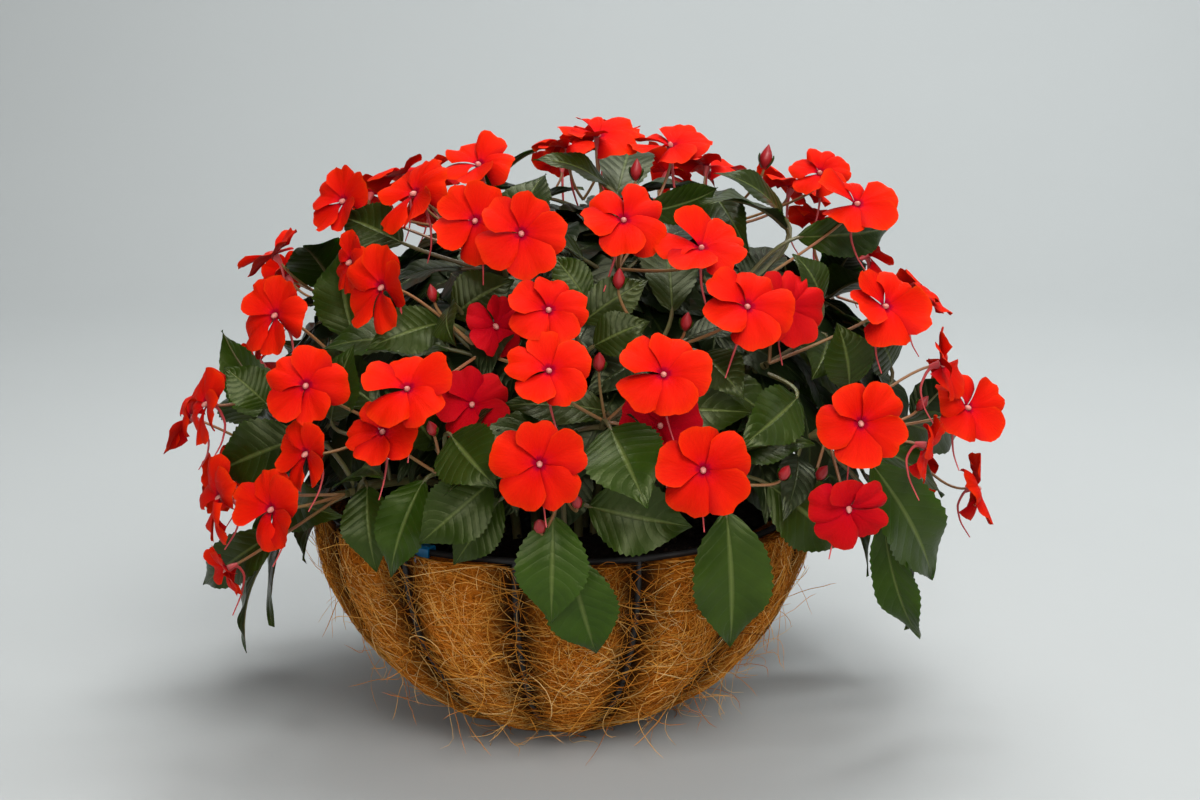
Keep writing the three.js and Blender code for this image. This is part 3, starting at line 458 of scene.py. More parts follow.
# Meshes: grids of points, gathered into one object with its own materials
class Piece:
    def __init__(self, name, slot, materials, replaces=()):
        self.name, self.slot, self.materials, self.replaces = name, slot, materials, replaces
        self.co, self.quads, self.uv, self.tone, self.mat = [], [], [], [], []
        self.count = 0

    def add(self, points, quads, uv, tone, material):
        points = np.asarray(points, float).reshape(-1, 3)
        n = len(points)
        self.co.append(points)
        self.quads.append(np.asarray(quads).reshape(-1, 4) + self.count)
        self.uv.append(np.broadcast_to(np.asarray(uv, float).reshape(-1, 2), (n, 2)))
        self.tone.append(np.broadcast_to(np.asarray(tone, float).reshape(-1, 2), (n, 2)))
        self.mat.append(np.full(len(self.quads[-1]), material))
        self.count += n

    def grid(self, points, uv, tone, material=0, flip=False):
        quads = grid_quads(*points.shape[:2])
        self.add(points, quads[..., ::-1] if flip else quads, uv, tone, material)

    # A thin blade: two faces that meet at its edges.
    def blade(self, points, uv, tone, thickness, material=0):
        along = np.gradient(points, axis=0)
        across = np.gradient(points, axis=1)
        normal = units(np.cross(across, along))
        half = thickness[..., None] / 2
        self.grid(points + normal * half, uv, tone, material)
        self.grid(points - normal * half, uv, tone, material, flip=True)

    def tube(self, line, radii, sides, tone, material=0):
        line = np.asarray(line, float)
        radii = np.broadcast_to(np.asarray(radii, float), (len(line),))
        way = units(np.gradient(line, axis=0))
        across = unit(np.cross(way[0], vec(0.31, 0.17, 0.93)))
        rings = []
        for p, w, r in zip(line, way, radii):
            across = unit(across - w * (across @ w))
            high = np.cross(w, across)
            a = np.linspace(0, 2 * math.pi, sides + 1)[:, None]
            rings.append(p + r * (across * np.cos(a) + high * np.sin(a)))
        length = np.concatenate([[0], np.cumsum(np.linalg.norm(np.diff(line, axis=0), axis=1))])
        uv = joined(length[:, None] / 10, np.linspace(0, 1, sides + 1)[None, :])
        self.grid(np.array(rings), uv, tone, material, flip=True)

    # A closed round body on an axis, from a table of places along it and radii.
    def turned(self, middle, way, stations, sides, tone, material=0):
        line = [middle + way * s for s, _ in stations]
        self.tube(line, [r for _, r in stations], sides, tone, material)

    def finish(self):
        co = np.concatenate(self.co) * MM
        quads = np.concatenate(self.quads)
        uv = np.concatenate(self.uv)
        tone = np.concatenate(self.tone)
        mesh = bpy.data.meshes.new(self.name)
        mesh.vertices.add(len(co))
        mesh.vertices.foreach_set("co", co.astype(np.float32).ravel())
        mesh.loops.add(quads.size)
        mesh.loops.foreach_set("vertex_index", quads.astype(np.int32).ravel())
        mesh.polygons.add(len(quads))
        mesh.polygons.foreach_set("loop_start", np.arange(0, quads.size, 4, dtype=np.int32))
        mesh.polygons.foreach_set("material_index", np.concatenate(self.mat).astype(np.int32))
        mesh.update(calc_edges=True)
        mesh.polygons.foreach_set("use_smooth", np.ones(len(quads), bool))
        for layer, values in (("shape", uv), ("tone", tone)):
            data = mesh.uv_layers.new(name=layer).data
            data.foreach_set("uv", values[quads.ravel()].astype(np.float32).ravel())
        for material in self.materials:
            mesh.materials.append(material)
        obj = show(self.name, mesh)
        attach(obj, "root")
        for node in self.replaces:
            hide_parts(node)


# Materials
class Nodes:
    def __init__(self, name):
        self.material = bpy.data.materials.new(name)
        self.material.use_nodes = True
        self.tree = self.material.node_tree
        self.shader = self.tree.nodes["Principled BSDF"]

    def node(self, kind, **settings):
        n = self.tree.nodes.new(kind)
        for key, value in settings.items():
            setattr(n, key, value)
        return n

    def link(self, source, target):
        if isinstance(source, (int, float)):
            target.default_value = source
        elif isinstance(source, tuple):
            target.default_value = (*source, 1)
        else:
            self.tree.links.new(source, target)

    def math(self, operation, a, b=0.0, c=0.0):
        n = self.node("ShaderNodeMath", operation=operation)
        for value, socket in zip((a, b, c), n.inputs):
            self.link(value, socket)
        return n.outputs[0]

    def mix(self, share, a, b):
        n = self.node("ShaderNodeMix", data_type="RGBA")
        self.link(share, n.inputs[0])
        self.link(a, n.inputs[6])
        self.link(b, n.inputs[7])
        return n.outputs[2]

    def uv(self, name):
        n = self.node("ShaderNodeUVMap", uv_map=name)
        parts = self.node("ShaderNodeSeparateXYZ")
        self.link(n.outputs[0], parts.inputs[0])
        return parts.outputs[0], parts.outputs[1]

    def point(self, x=1.0, y=1.0, z=1.0):
        coordinates = self.node("ShaderNodeTexCoord")
        mapping = self.node("ShaderNodeMapping")
        self.link(coordinates.outputs["Object"], mapping.inputs[0])
        mapping.inputs["Scale"].default_value = (x, y, z)
        return mapping.outputs[0]

    def combine(self, x, y, z=0.0):
        n = self.node("ShaderNodeCombineXYZ")
        for value, socket in zip((x, y, z), n.inputs):
            self.link(value, socket)
        return n.outputs[0]

    def noise(self, vector, scale, detail=3.0, roughness=0.55):
        n = self.node("ShaderNodeTexNoise")
        self.link(vector, n.inputs["Vector"])
        n.inputs["Scale"].default_value = scale
        n.inputs["Detail"].default_value = detail
        n.inputs["Roughness"].default_value = roughness
        return n.outputs["Fac"]

    def ramp(self, value, stops):
        n = self.node("ShaderNodeValToRGB")
        self.link(value, n.inputs[0])
        elements = n.color_ramp.elements
        while len(elements) < len(stops):
            elements.new(0.5)
        for element, (position, colour) in zip(elements, stops):
            element.position = position
            element.color = (*colour, 1)
        return n.outputs[0]

    def bump(self, height, distance, strength=1.0):
        n = self.node("ShaderNodeBump")
        n.inputs["Strength"].default_value = strength
        n.inputs["Distance"].default_value = distance
        self.link(height, n.inputs["Height"])
        self.link(n.outputs[0], self.shader.inputs["Normal"])

    def set(self, **values):
        for name, value in values.items():
            self.link(value, self.shader.inputs[name.replace("_", " ")])


def petal_material():
    m = Nodes("petal")
    q, s = m.uv("shape")
    shade, age = m.uv("tone")
    base = m.ramp(q, [
        (0.0, (0.12, 0.0, 0.02)), (0.08, (0.30, 0.0, 0.03)), (0.15, (0.78, 0.006, 0.010)),
        (0.36, (0.78, 0.009, 0.001)), (0.85, (0.86, 0.020, 0.001)), (1.0, (0.92, 0.038, 0.001))])
    streaks = m.noise(m.combine(m.math("MULTIPLY", s, 9.0), m.math("MULTIPLY", q, 1.6), age), 3.0, 4.0, 0.6)
    veined = m.mix(m.math("MULTIPLY", streaks, 0.6), base, (0.56, 0.002, 0.002))
    # the right side of a petal lies in the shade of its neighbour's wing
    covered = m.math("SUBTRACT", -0.38, s)
    hidden = m.math("MULTIPLY", m.math("MAXIMUM", covered, 0.0), 1.5)
    overlapped = m.mix(hidden, veined, (0.36, 0.0, 0.004))
    # darker red at random for some blooms, and painted shade for the blooms set back in the plant
    deeper_with_shade = m.mix(shade, overlapped, (0.42, 0.0, 0.010))
    m.set(Base_Color=deeper_with_shade, Roughness=0.55, Subsurface_Weight=0.1, Subsurface_Scale=0.003,
          Specular_IOR_Level=0.03)
    m.shader.inputs["Subsurface Radius"].default_value = (1.0, 0.12, 0.05)
    fine = m.noise(m.point(), 900.0, 2.0)
    m.bump(m.math("ADD", streaks, m.math("MULTIPLY", fine, 0.25)), 0.0006, 0.7)
    return m.material


def leaf_material():
    m = Nodes("leaf")
    u, v = m.uv("shape")
    shade, fresh = m.uv("tone")
    across = m.math("ABSOLUTE", v)
    # side veins leave the midrib aslant and bend towards the tip
    slant = m.math("MULTIPLY", m.math("POWER", across, 1.25), 1.9)
    place = m.math("SUBTRACT", m.math("MULTIPLY", u, 9.5), slant)
    part = m.math("FRACT", m.math("ADD", place, 10.0))
    away = m.math("ABSOLUTE", m.math("SUBTRACT", part, 0.5))  # 0.5 on a vein, 0 between two
    vein = m.math("SMOOTH_MIN", 1.0, m.math("POWER", m.math("MULTIPLY", away, 2.0), 9.0), 0.1)
    beside = m.math("MINIMUM", m.math("MULTIPLY", across, 13.0), 1.0)
    rib = m.math("POWER", m.math("SUBTRACT", 1.0, beside), 0.6)
    mottle = m.noise(m.point(), 60.0, 4.0)
    dark = m.mix(fresh, (0.005, 0.009, 0.001), (0.012, 0.038, 0.002))
    light = m.mix(fresh, (0.028, 0.040, 0.003), (0.052, 0.110, 0.005))
    body = m.mix(m.math("MULTIPLY", mottle, 0.8), dark, light)
    lined = m.mix(m.math("MULTIPLY", vein, 0.10), body, (0.05, 0.10, 0.03))
    ribbed = m.mix(m.math("MULTIPLY", rib, 0.6), lined, (0.15, 0.19, 0.05))
    shaded = m.mix(shade, ribbed, (0.005, 0.010, 0.004))
    m.set(Base_Color=shaded, Roughness=0.36, Specular_IOR_Level=0.30, Coat_Weight=0.06, Coat_Roughness=0.25,
          Specular_Tint=(0.90, 0.98, 0.50), Subsurface_Weight=0.06, Subsurface_Scale=0.002)
    m.shader.inputs["Subsurface Radius"].default_value = (0.4, 1.0, 0.15)
    puff = m.math("POWER", m.math("SUBTRACT", 1.0, m.math("MULTIPLY", away, 2.0)), 0.5)
    height = m.math("SUBTRACT", m.math("MULTIPLY", puff, 0.5), m.math("MULTIPLY", rib, 0.7))
    cells = m.noise(m.point(), 420.0, 2.0)
    m.bump(m.math("ADD", height, m.math("MULTIPLY", cells, 0.3)), 0.0007, 0.8)
    return m.material


def stem_material(name, low, high):
    m = Nodes(name)
    grain = m.noise(m.point(1, 1, 0.35), 260.0, 4.0)
    patches = m.noise(m.point(), 38.0, 2.0)
    m.set(Base_Color=m.mix(patches, low, high), Roughness=0.45, Subsurface_Weight=0.08,
          Subsurface_Scale=0.002)
    m.bump(grain, 0.0004, 0.6)
    return m.material


def column_material():
    m = Nodes("bloom_centre")
    grain = m.noise(m.point(), 700.0, 3.0)
    m.set(Base_Color=m.mix(grain, (0.50, 0.08, 0.08), (0.74, 0.38, 0.30)), Roughness=0.5)
    m.bump(grain, 0.0004, 0.6)
    return m.material


def bud_material():
    m = Nodes("bud")
    u, v = m.uv("shape")
    grain = m.noise(m.combine(m.math("MULTIPLY", v, 14.0), u), 2.0, 3.0)
    m.set(Base_Color=m.mix(grain, (0.18, 0.003, 0.010), (0.50, 0.014, 0.016)), Roughness=0.4,
          Coat_Weight=0.15, Coat_Roughness=0.3)
    m.bump(grain, 0.0005, 0.6)
    return m.material


def coir_material():
    m = Nodes("coir_mat")
    groove_light, _ = m.uv("tone")
    one = m.noise(m.point(1, 1, 3.2), 190.0, 6.0, 0.75)
    two = m.noise(m.point(3.0, 3.0, 0.8), 150.0, 6.0, 0.75)
    lumps = m.noise(m.point(), 26.0, 3.0)
    fibres = m.math("MAXIMUM", one, two)
    # fibre colours: from painted shade in the gaps between fibres, through mid brown, to light strands
    tint = m.ramp(fibres, [
        (0.42, (0.08, 0.016, 0.002)), (0.56, (0.58, 0.155, 0.010)), (0.74, (0.95, 0.34, 0.035))])
    clumped = m.mix(m.math("MULTIPLY", lumps, 0.5), tint, (0.24, 0.07, 0.006))
    # painted shade: the coir turns near black in the grooves beside the ribs
    m.set(Base_Color=m.mix(groove_light, (0.022, 0.008, 0.002), clumped), Roughness=0.95, Specular_IOR_Level=0.04)
    m.bump(m.math("ADD", fibres, m.math("MULTIPLY", lumps, 0.6)), 0.003, 1.0)
    return m.material


def fibre_material():
    m = Nodes("coir_fibre")
    tone, groove_light = m.uv("tone")
    tint = m.ramp(tone, [
        (0.0, (0.14, 0.032, 0.003)), (0.35, (0.68, 0.20, 0.015)), (0.7, (0.92, 0.43, 0.07)),
        (1.0, (0.96, 0.70, 0.32))])
    speck = m.noise(m.point(), 300.0, 2.0)
    worn = m.mix(m.math("MULTIPLY", speck, 0.3), tint, (0.25, 0.09, 0.010))
    # painted shade: fibres turn near black in the grooves beside the ribs
    m.set(Base_Color=m.mix(groove_light, (0.03, 0.011, 0.003), worn), Roughness=0.8, Specular_IOR_Level=0.08)
    return m.material


def soil_material():
    m = Nodes("soil_mix")
    crumbs = m.noise(m.point(), 320.0, 6.0, 0.7)
    clods = m.noise(m.point(), 70.0, 4.0)
    tint = m.ramp(crumbs, [
        (0.35, (0.006, 0.004, 0.003)), (0.6, (0.028, 0.016, 0.010)), (0.8, (0.07, 0.042, 0.026))])
    m.set(Base_Color=tint, Roughness=0.97, Specular_IOR_Level=0.2)
    m.bump(m.math("ADD", crumbs, clods), 0.003, 1.0)
    return m.material


def wire_material():
    m = Nodes("coated_wire")
    wear = m.noise(m.point(), 180.0, 5.0)
    m.set(Base_Color=m.mix(m.math("MULTIPLY", wear, 0.6), (0.005, 0.005, 0.006), (0.022, 0.019, 0.016)),
          Roughness=m.math("ADD", 0.42, m.math("MULTIPLY", wear, 0.3)))
    m.bump(wear, 0.0003, 0.5)
    return m.material


def clip_material():
    m = Nodes("blue_plastic")
    wear = m.noise(m.point(), 150.0, 4.0)
    m.set(Base_Color=m.mix(wear, (0.0, 0.11, 0.28), (0.004, 0.19, 0.42)), Roughness=0.42)
    m.bump(wear, 0.0003, 0.4)
    return m.material


def floor_material():
    m = Nodes("paper_sweep")
    cloud = m.noise(m.point(), 1.3, 3.0)
    m.set(Base_Color=m.mix(cloud, (0.465, 0.49, 0.495), (0.495, 0.52, 0.525)), Roughness=0.9,
          Specular_IOR_Level=0.15)
    m.bump(m.noise(m.point(), 90.0, 4.0), 0.0004, 0.3)
    return m.material


PETAL = petal_material()
LEAF = leaf_material()
STEM = stem_material("stem", (0.10, 0.03, 0.018), (0.12, 0.16, 0.05))
PEDICEL = stem_material("pedicel", (0.34, 0.07, 0.04), (0.22, 0.19, 0.06))
SPUR = stem_material("spur", (0.55, 0.03, 0.05), (0.62, 0.10, 0.09))
COLUMN = column_material()
BUD = bud_material()
COIR = coir_material()
FIBRE = fibre_material()
SOIL = soil_material()
WIRE = wire_material()
CLIP = clip_material()


STEM_MATERIALS = [LEAF, STEM]
SPRAY_MATERIALS = [PETAL, COLUMN, PEDICEL, SPUR, BUD, LEAF]
STEM_PLACE = STEM_MATERIALS.index(STEM)
COLUMN_PLACE, PEDICEL_PLACE, SPUR_PLACE, BUD_PLACE, SEPAL_PLACE = range(1, 6)  # in SPRAY_MATERIALS


# Leaves
def leaf_half_width(u):
    return np.sin(math.pi * u ** 0.85) ** 0.8 / 2


def add_leaf(piece, leaf, rows=35, cols=7, shade=0.0):
    base, tip, width = leaf["base"], leaf["tip"], leaf["width"]
    key = leaf["key"]
    length = np.linalg.norm(tip - base)
    along = unit(tip - base)
    face = unit(leaf["normal"] - along * (leaf["normal"] @ along))
    side = np.cross(along, face)
    u = np.linspace(0, 1, rows)[:, None]
    v = np.linspace(-1, 1, cols)[None, :]
    half = leaf_half_width(np.clip(u, 1e-4, 1 - 1e-6)) * (1 - 0.62 * np.clip((u - 0.5) / 0.5, 0, 1) ** 1.8)
    teeth = 1 + 0.05 * np.where(np.arange(rows) % 2, 1, -0.4)[:, None] * (u > 0.1) * (u < 0.97)
    reach = v * np.where(np.abs(v) > 0.99, teeth, 1.0)
    phase = 6.3 * draw(key, 41)
    ripple = np.sin(2 * math.pi * (1.6 + draw(key, 42)) * u + phase + 1.2 * np.sign(v))
    wave = 0.022 * length * ripple * np.abs(v) ** 2
    lift = 0.4 * length * u * (1 - u) + 0.22 * np.abs(v) * width * half + wave * (u > 0.05)
    curl = -0.05 * length * np.clip(u - 0.75, 0, 1) ** 2 * 4
    points = (base + along * (u * length)[..., None] + face * (lift + curl)[..., None]
              + side * (reach * half * width * 1.04)[..., None])
    thick = 0.9 * (1 - np.abs(v) ** 6) * np.clip(8 * (1 - u), 0, 1) * np.ones_like(u)
    fresh = leaf.get("fresh", FRESH_LEAVES.get(key, 0.06 + 0.35 * draw(key, 43) ** 2))
    tone = (min(0.9, shade + 0.18 * draw(key, 44)), fresh)
    piece.blade(points, joined(u, v), tone, thick)
    root = leaf["root"]
    start = 0.06
    into = base + along * length * start + face * (0.4 * length * start * (1 - start) - 0.9)
    bend = base - along * 0.35 * np.linalg.norm(base - root) - face * 0.9
    stalk = bezier(root, bend, into, np.linspace(0, 1, 9))
    piece.tube(stalk, np.linspace(1.9, 1.3, 9), 6, PLAIN, STEM_PLACE)
    rib = np.linspace(start, 0.96, 9)[:, None]
    under = base + along * rib * length + face * (0.4 * length * rib * (1 - rib) - 0.75)
    piece.tube(under, np.linspace(1.3, 0.25, 9), 5, PLAIN, STEM_PLACE)


def add_stem(piece, b):
    t = np.linspace(0, 1, 15)
    line = np.concatenate([[b.root * vec(1, 1, 0) + UP * STEM_ROOT_HEIGHT], b.point(t)])
    swell = 1 + 0.12 * np.exp(-((t[:, None] - np.array([0.3, 0.55, 0.75, 0.9])) / 0.03) ** 2).sum(1)
    radii = np.concatenate([[STEM_RADIUS], STEM_RADIUS * (1.0 - 0.25 * t) * swell])
    piece.tube(line, radii, 9, PLAIN, STEM_PLACE)


# Blooms
def add_petal(piece, bloom, k, tone):
    hub, face, R = bloom["hub"], bloom["face"], bloom["R"]
    side, high = bloom_axes(face)
    index = bloom["index"]
    angle = bloom["roll"] + k * 2 * math.pi / PETALS
    rows, cols = 13, 17
    spread = math.radians(44 + 4 * draw(index, k, 50))
    long = PETAL_LENGTHS[k] * (0.96 + 0.09 * draw(index, k, 51))
    q = np.linspace(0, 1, rows)[:, None]
    s = np.linspace(-1, 1, cols)[None, :]
    notch = 0.03 + 0.07 * draw(index, k, 52)
    off = 0.3 * (draw(index, k, 53) - 0.5)
    lobe = 1 - notch * np.exp(-((s - off) / 0.16) ** 2) - 0.37 * np.abs(s - 0.3 * off) ** 3.2
    crimp = 0.014 * np.sin(10 * s + 6.3 * draw(index, k, 54)) + 0.007 * np.sin(27 * s + 5 * k)
    outline = long * (lobe + crimp)
    hub_share = 0.6 * HUB_RADIUS / R
    r = hub_share + (outline - hub_share) * q
    a = s * spread * (1 - 0.22 * (1 - q) ** 2)
    twist = (0.01 + 0.145 * s) * q ** 0.8
    cup = 0.24 * q * (1 - q) * (0.4 + 1.2 * draw(index, k, 55))
    arch = (0.05 - 0.2 * draw(index, k, 58)) * s ** 2 * q
    slow_wave = 0.075 * np.sin(4.4 * s + 6.3 * draw(index, k, 56)) * q ** 2
    wave = slow_wave + 0.02 * np.sin(12 * s + 3 * k) * q ** 4
    curl = (draw(index, k, 57) - 0.62) * 0.4 * q ** 3
    crease = -0.04 * np.exp(-(s / 0.09) ** 2) * q
    z = twist + cup + arch + wave + curl + crease + petal_lean(index, k) * r
    x, y = r * np.cos(a), r * np.sin(a)
    c, d = math.cos(angle), math.sin(angle)
    turned = side * (x * c - y * d)[..., None] + high * (x * d + y * c)[..., None]
    points = hub + R * (turned + face * z[..., None])
    thick = 0.45 * (1 - q ** 8) * (1 - np.abs(s) ** 8)
    piece.blade(points, joined(q, s), tone, thick)


def add_bloom(piece, bloom):
    hub, face, index = bloom["hub"], bloom["face"], bloom["index"]
    side, high = bloom_axes(face)
    # a random tone, plus painted shade for the blooms set back in the plant
    shade = 0.10 * draw(index, 61) + SHADED_BLOOMS.get(index, 0.0)
    for k in range(PETALS):
        add_petal(piece, bloom, k, (min(0.9, shade + 0.08 * draw(index, k, 62)), draw(index, k, 63)))
    down = unit(face * 0.6 - high * 0.35)
    column = [(-1.5, 0.1), (-1.4, 1.3), (0.5, 1.9), (2.2, 1.7), (3.4, 1.0), (3.9, 0.1)]
    piece.turned(hub + face * 0.2, down, column, 8, PLAIN, COLUMN_PLACE)
    cone = [(0.2, HUB_RADIUS), (1.6, HUB_RADIUS * 0.95), (4.5, 2.0), (NECK_BACK + 0.5, 1.15)]
    piece.turned(hub, -face, cone, 8, PLAIN, SPUR_PLACE)
    stalk = bezier(*bloom["stalk"], np.linspace(0, 1, 12))
    piece.tube(stalk, np.linspace(1.0, 1.15, 12), 6, PLAIN, PEDICEL_PLACE)
    drop = unit(vec(face[0] * 0.25, face[1] * 0.25, -1))
    swing = side * 2.6 * (draw(index, 64) - 0.5)
    marks = [(2.2, 0, 0), (9, 2, 0.5), (16, 12, 2), (16.5, 25, 6), (12, 38, 10)]
    control = np.array([hub - face * back + drop * fall + swing * aside for back, fall, aside in marks])
    t = np.linspace(0, len(control) - 1, 15)
    line = np.stack([np.interp(t, range(len(control)), control[:, i]) for i in range(3)], -1)
    line[1:-1] = (line[:-2] + 2 * line[1:-1] + line[2:]) / 4
    piece.tube(line, np.linspace(1.3, 0.4, 15), 6, PLAIN, SPUR_PLACE)


def add_bud(piece, bud):
    middle, way, length = bud["middle"], bud["way"], bud["length"]
    shape = [(-0.46, 0.06), (-0.36, 0.14), (-0.2, 0.24), (-0.04, 0.275), (0.12, 0.25), (0.28, 0.18),
             (0.44, 0.09), (0.56, 0.02)]
    piece.turned(middle, way, [(s * length, r * length) for s, r in shape], 9, PLAIN, BUD_PLACE)
    stalk = bezier(*bud["stalk"], np.linspace(0, 1, 10))
    piece.tube(stalk, np.linspace(0.9, 1.1, 10), 6, PLAIN, PEDICEL_PLACE)
    side = unit(np.cross(way, vec(0.3, 0.8, 0.2)))
    for turn in (0.0, math.pi):
        out = rotate(side, way, turn)
        wide = np.cross(way, out)
        t = np.linspace(0, 1, 7)[:, None]
        w = np.linspace(-1, 1, 5)[None, :]
        half = 0.16 * length * np.sin(math.pi * np.clip(t, 0.02, 1)) ** 0.7
        lift = 0.1 + 0.24 * np.sin(1.9 * t)
        points = (middle + way * ((t * 0.62 - 0.48) * length)[..., None] + wide * (w * half)[..., None]
                  + out * (lift * length * (1 - 0.15 * w ** 2))[..., None])
        thick = 0.4 * (1 - w ** 6) * np.ones_like(t)
        # sepals: a light green with a little painted shade
        piece.blade(points, joined(t, w), (0.1, 0.8), thick, SEPAL_PLACE)


# Leaves all round, a little inside the blooms, that close the view through the plant, darkened with painted
# shade
def shell_leaves():
    made = []
    for i in range(SHELL_LEAVES):
        up = math.cos(math.radians(SHELL_POLAR_DEG) * (i + 0.5) / SHELL_LEAVES)
        turn = GOLDEN_ANGLE * i
        flat = math.sqrt(1 - up * up)
        way = vec(flat * math.cos(turn), flat * math.sin(turn), up)
        middle = dome_towards(way, SHELL_OUT - 16 * draw(i, 81))
        out = outward(middle)
        fall = unit(vec(0, 0, -1) + 0.4 * unit(vec(way[0], way[1], 0.01)))
        along = rotate(unit(fall - out * (fall @ out)), out, 2.2 * (draw(i, 82) - 0.5))
        length = 56 + 24 * draw(i, 83)
        tip = middle + along * 0.5 * length
        if tip[2] < INNER_TIP_LOWEST:
            continue
        base = middle - along * 0.5 * length - out * 8
        b = nearest_branch(middle)
        normal = unit(out + 0.5 * (vec(draw(i, 84), draw(i, 85), draw(i, 86)) - 0.5))
        made.append(dict(base=base, tip=tip, width=0.5 * length, normal=normal, k=b.k, key=3000 + i,
                         root=leaf_root(b, base, tip), fresh=0.05))
    return made


blooms = find_blooms()
buds = find_buds()
leaves = find_leaves()
shell = shell_leaves()
print("found", len(blooms), "blooms", len(buds), "buds", len(leaves), "leaves")

for b in branches:
    piece = Piece(f"stem_with_leaves_{b.k + 1:02d}", "leaf", STEM_MATERIALS, [stem_name(b.k)])
    add_stem(piece, b)
    for leaf in leaves:
        if leaf["k"] == b.k:
            add_leaf(piece, leaf)
    # inner leaves, darkened with painted shade
    for i in range(INNER_LEAVES):
        share = 0.35 + 0.65 * (i + draw(b.k, i, 71)) / INNER_LEAVES
        inner = fill_leaf(b, i, 0, share, 0.35, 50, 72)
        if inner["tip"][2] > INNER_TIP_LOWEST:
            inner.update(key=1000 + 20 * b.k + i, fresh=0.0)
            add_leaf(piece, inner, rows=13, cols=5, shade=0.72)
    # shell leaves, darkened with painted shade
    for leaf in shell:
        if leaf["k"] == b.k:
            add_leaf(piece, leaf, rows=15, cols=5, shade=0.7)
    piece.finish()

for k, node in bloom_nodes.items():
    piece = Piece(f"spray_{k + 1:02d}", "petal", SPRAY_MATERIALS, [node])
    for bloom in blooms:
        if bloom["k"] == k:
            add_bloom(piece, bloom)
    for bud in buds:
        if bud["k"] == k:
            add_bud(piece, bud)
    piece.finish()


# Basket
def profile(angle, out):
    nx, nz = np.cos(angle) * BOWL_DEPTH, -np.sin(angle) * BOWL_RADIUS
    size = np.hypot(nx, nz)
    radius = BOWL_RADIUS * np.cos(angle) + out * nx / size
    height = RIM_HEIGHT - BOWL_DEPTH * np.sin(angle) + out * nz / size
    return radius, height


FLOOR_ANGLE = math.asin(RIM_HEIGHT / BOWL_DEPTH)
TOP_ANGLE = math.asin((RIM_HEIGHT - COIR_TOP) / BOWL_DEPTH)


def around(radius, height, degrees):
    a = np.radians(degrees)
    return joined(radius * np.sin(a), -radius * np.cos(a), height)


def groove_depth(angle):
    down = np.clip((angle - TOP_ANGLE) / (FLOOR_ANGLE - TOP_ANGLE), 0, 1)
    return GROOVE_DEPTH + (LOW_GROOVE_DEPTH - GROOVE_DEPTH) * down ** 2


# 0 in a groove, 1 on the crest of a lobe
def lobe_share(degrees):
    phase = np.mod((degrees - FIRST_RIB_DEG) * RIB_COUNT / 360, 1)
    return np.sin(math.pi * phase) ** 0.62


def lobe_out(angle, degrees):
    return (lobe_share(degrees) - 1) * groove_depth(angle)


# Painted shade of the grooves: how light the fibre is, 1 on a lobe, near 0 in the groove beside a rib
def painted_groove_light(degrees):
    return np.clip((lobe_share(degrees) - 0.42) / 0.42, 0.0, 1.0)


# Smooth lumps in the matted fibre, 0 in the grooves
def lumps(angle, degrees):
    a = np.radians(degrees)
    slow = np.sin(5 * a + 7 * angle) + np.sin(11 * a - 13 * angle + 1.0)
    slow = slow + 0.7 * np.sin(23 * a + 19 * angle + 2.0)
    fine = np.sin(61 * a + 37 * angle) * np.sin(43 * a - 71 * angle)
    return (0.75 * slow + 0.5 * fine) * lobe_share(degrees)


def coir_surface(angle, degrees, out=0.0):
    radius, height = profile(angle, lobe_out(angle, degrees) + lumps(angle, degrees) * 0.8 + out)
    return around(radius, np.maximum(height, 0.2), degrees)


def make_coir():
    piece = Piece("coir_bowl", "coir", [COIR], ["coir_liner"])
    degrees = np.linspace(0, 360, RIB_COUNT * 18 + 1)[None, :] + FIRST_RIB_DEG
    angles = np.linspace(TOP_ANGLE, FLOOR_ANGLE, 60)[:, None]
    outer = coir_surface(angles, degrees)
    tops = []
    for share in (1.0, 0.75, 0.5, 0.25, 0.0):
        radius, _ = profile(TOP_ANGLE, (lobe_out(TOP_ANGLE, degrees) + 1) * share - COIR_WALL * (1 - share))
        uneven = 0.6 * np.sin(17 * np.radians(degrees) + 9 * share)
        crown = COIR_TOP + 1.4 * math.sin(math.pi * share) + uneven
        tops.append(around(radius, crown, degrees)[0])
    inner = [around(*profile(a, -COIR_WALL), degrees)[0] for a in np.linspace(TOP_ANGLE, 0.35, 6)]
    foot = [around(BASE_RING_RADIUS + out, z, degrees)[0] for out, z in BASE_PAD]
    rows = np.array(inner[::-1] + tops[::-1] + list(outer) + foot)
    uv = np.stack(np.meshgrid(np.linspace(0, 1, rows.shape[1]), np.linspace(0, 1, len(rows))), -1)
    # painted shade: darker in the grooves beside the ribs
    groove_light = painted_groove_light(np.broadcast_to(degrees, rows.shape[:2]))
    piece.grid(rows, uv, np.stack([groove_light, groove_light], -1), flip=True)
    piece.finish()


# Many thin tubes at once: points (n, k, 3), one radius for each
def add_fibres(piece, lines, radius, tone):
    n, k = lines.shape[:2]
    way = units(np.gradient(lines, axis=1))
    helper = np.where(np.abs(way[..., 2:3]) > 0.8, vec(1, 0, 0), vec(0, 0, 1))
    across = units(np.cross(way, helper))
    high = np.cross(way, across)
    a = np.arange(FIBRE_SIDES) * 2 * math.pi / FIBRE_SIDES
    taper = np.ones(k)
    taper[-1] = 0.3
    r = (radius[:, None] * taper)[..., None, None]
    spoke = across[:, :, None] * np.cos(a)[:, None] + high[:, :, None] * np.sin(a)[:, None]
    ring = lines[:, :, None] + r * spoke
    index = np.arange(n * k * FIBRE_SIDES).reshape(n, k, FIBRE_SIDES)
    nxt = np.roll(index, -1, axis=2)
    quads = np.stack([index[:, :-1], nxt[:, :-1], nxt[:, 1:], index[:, 1:]], -1)
    piece.add(ring, quads, PLAIN, np.repeat(tone.reshape(-1, 2), FIBRE_SIDES, axis=0), 0)


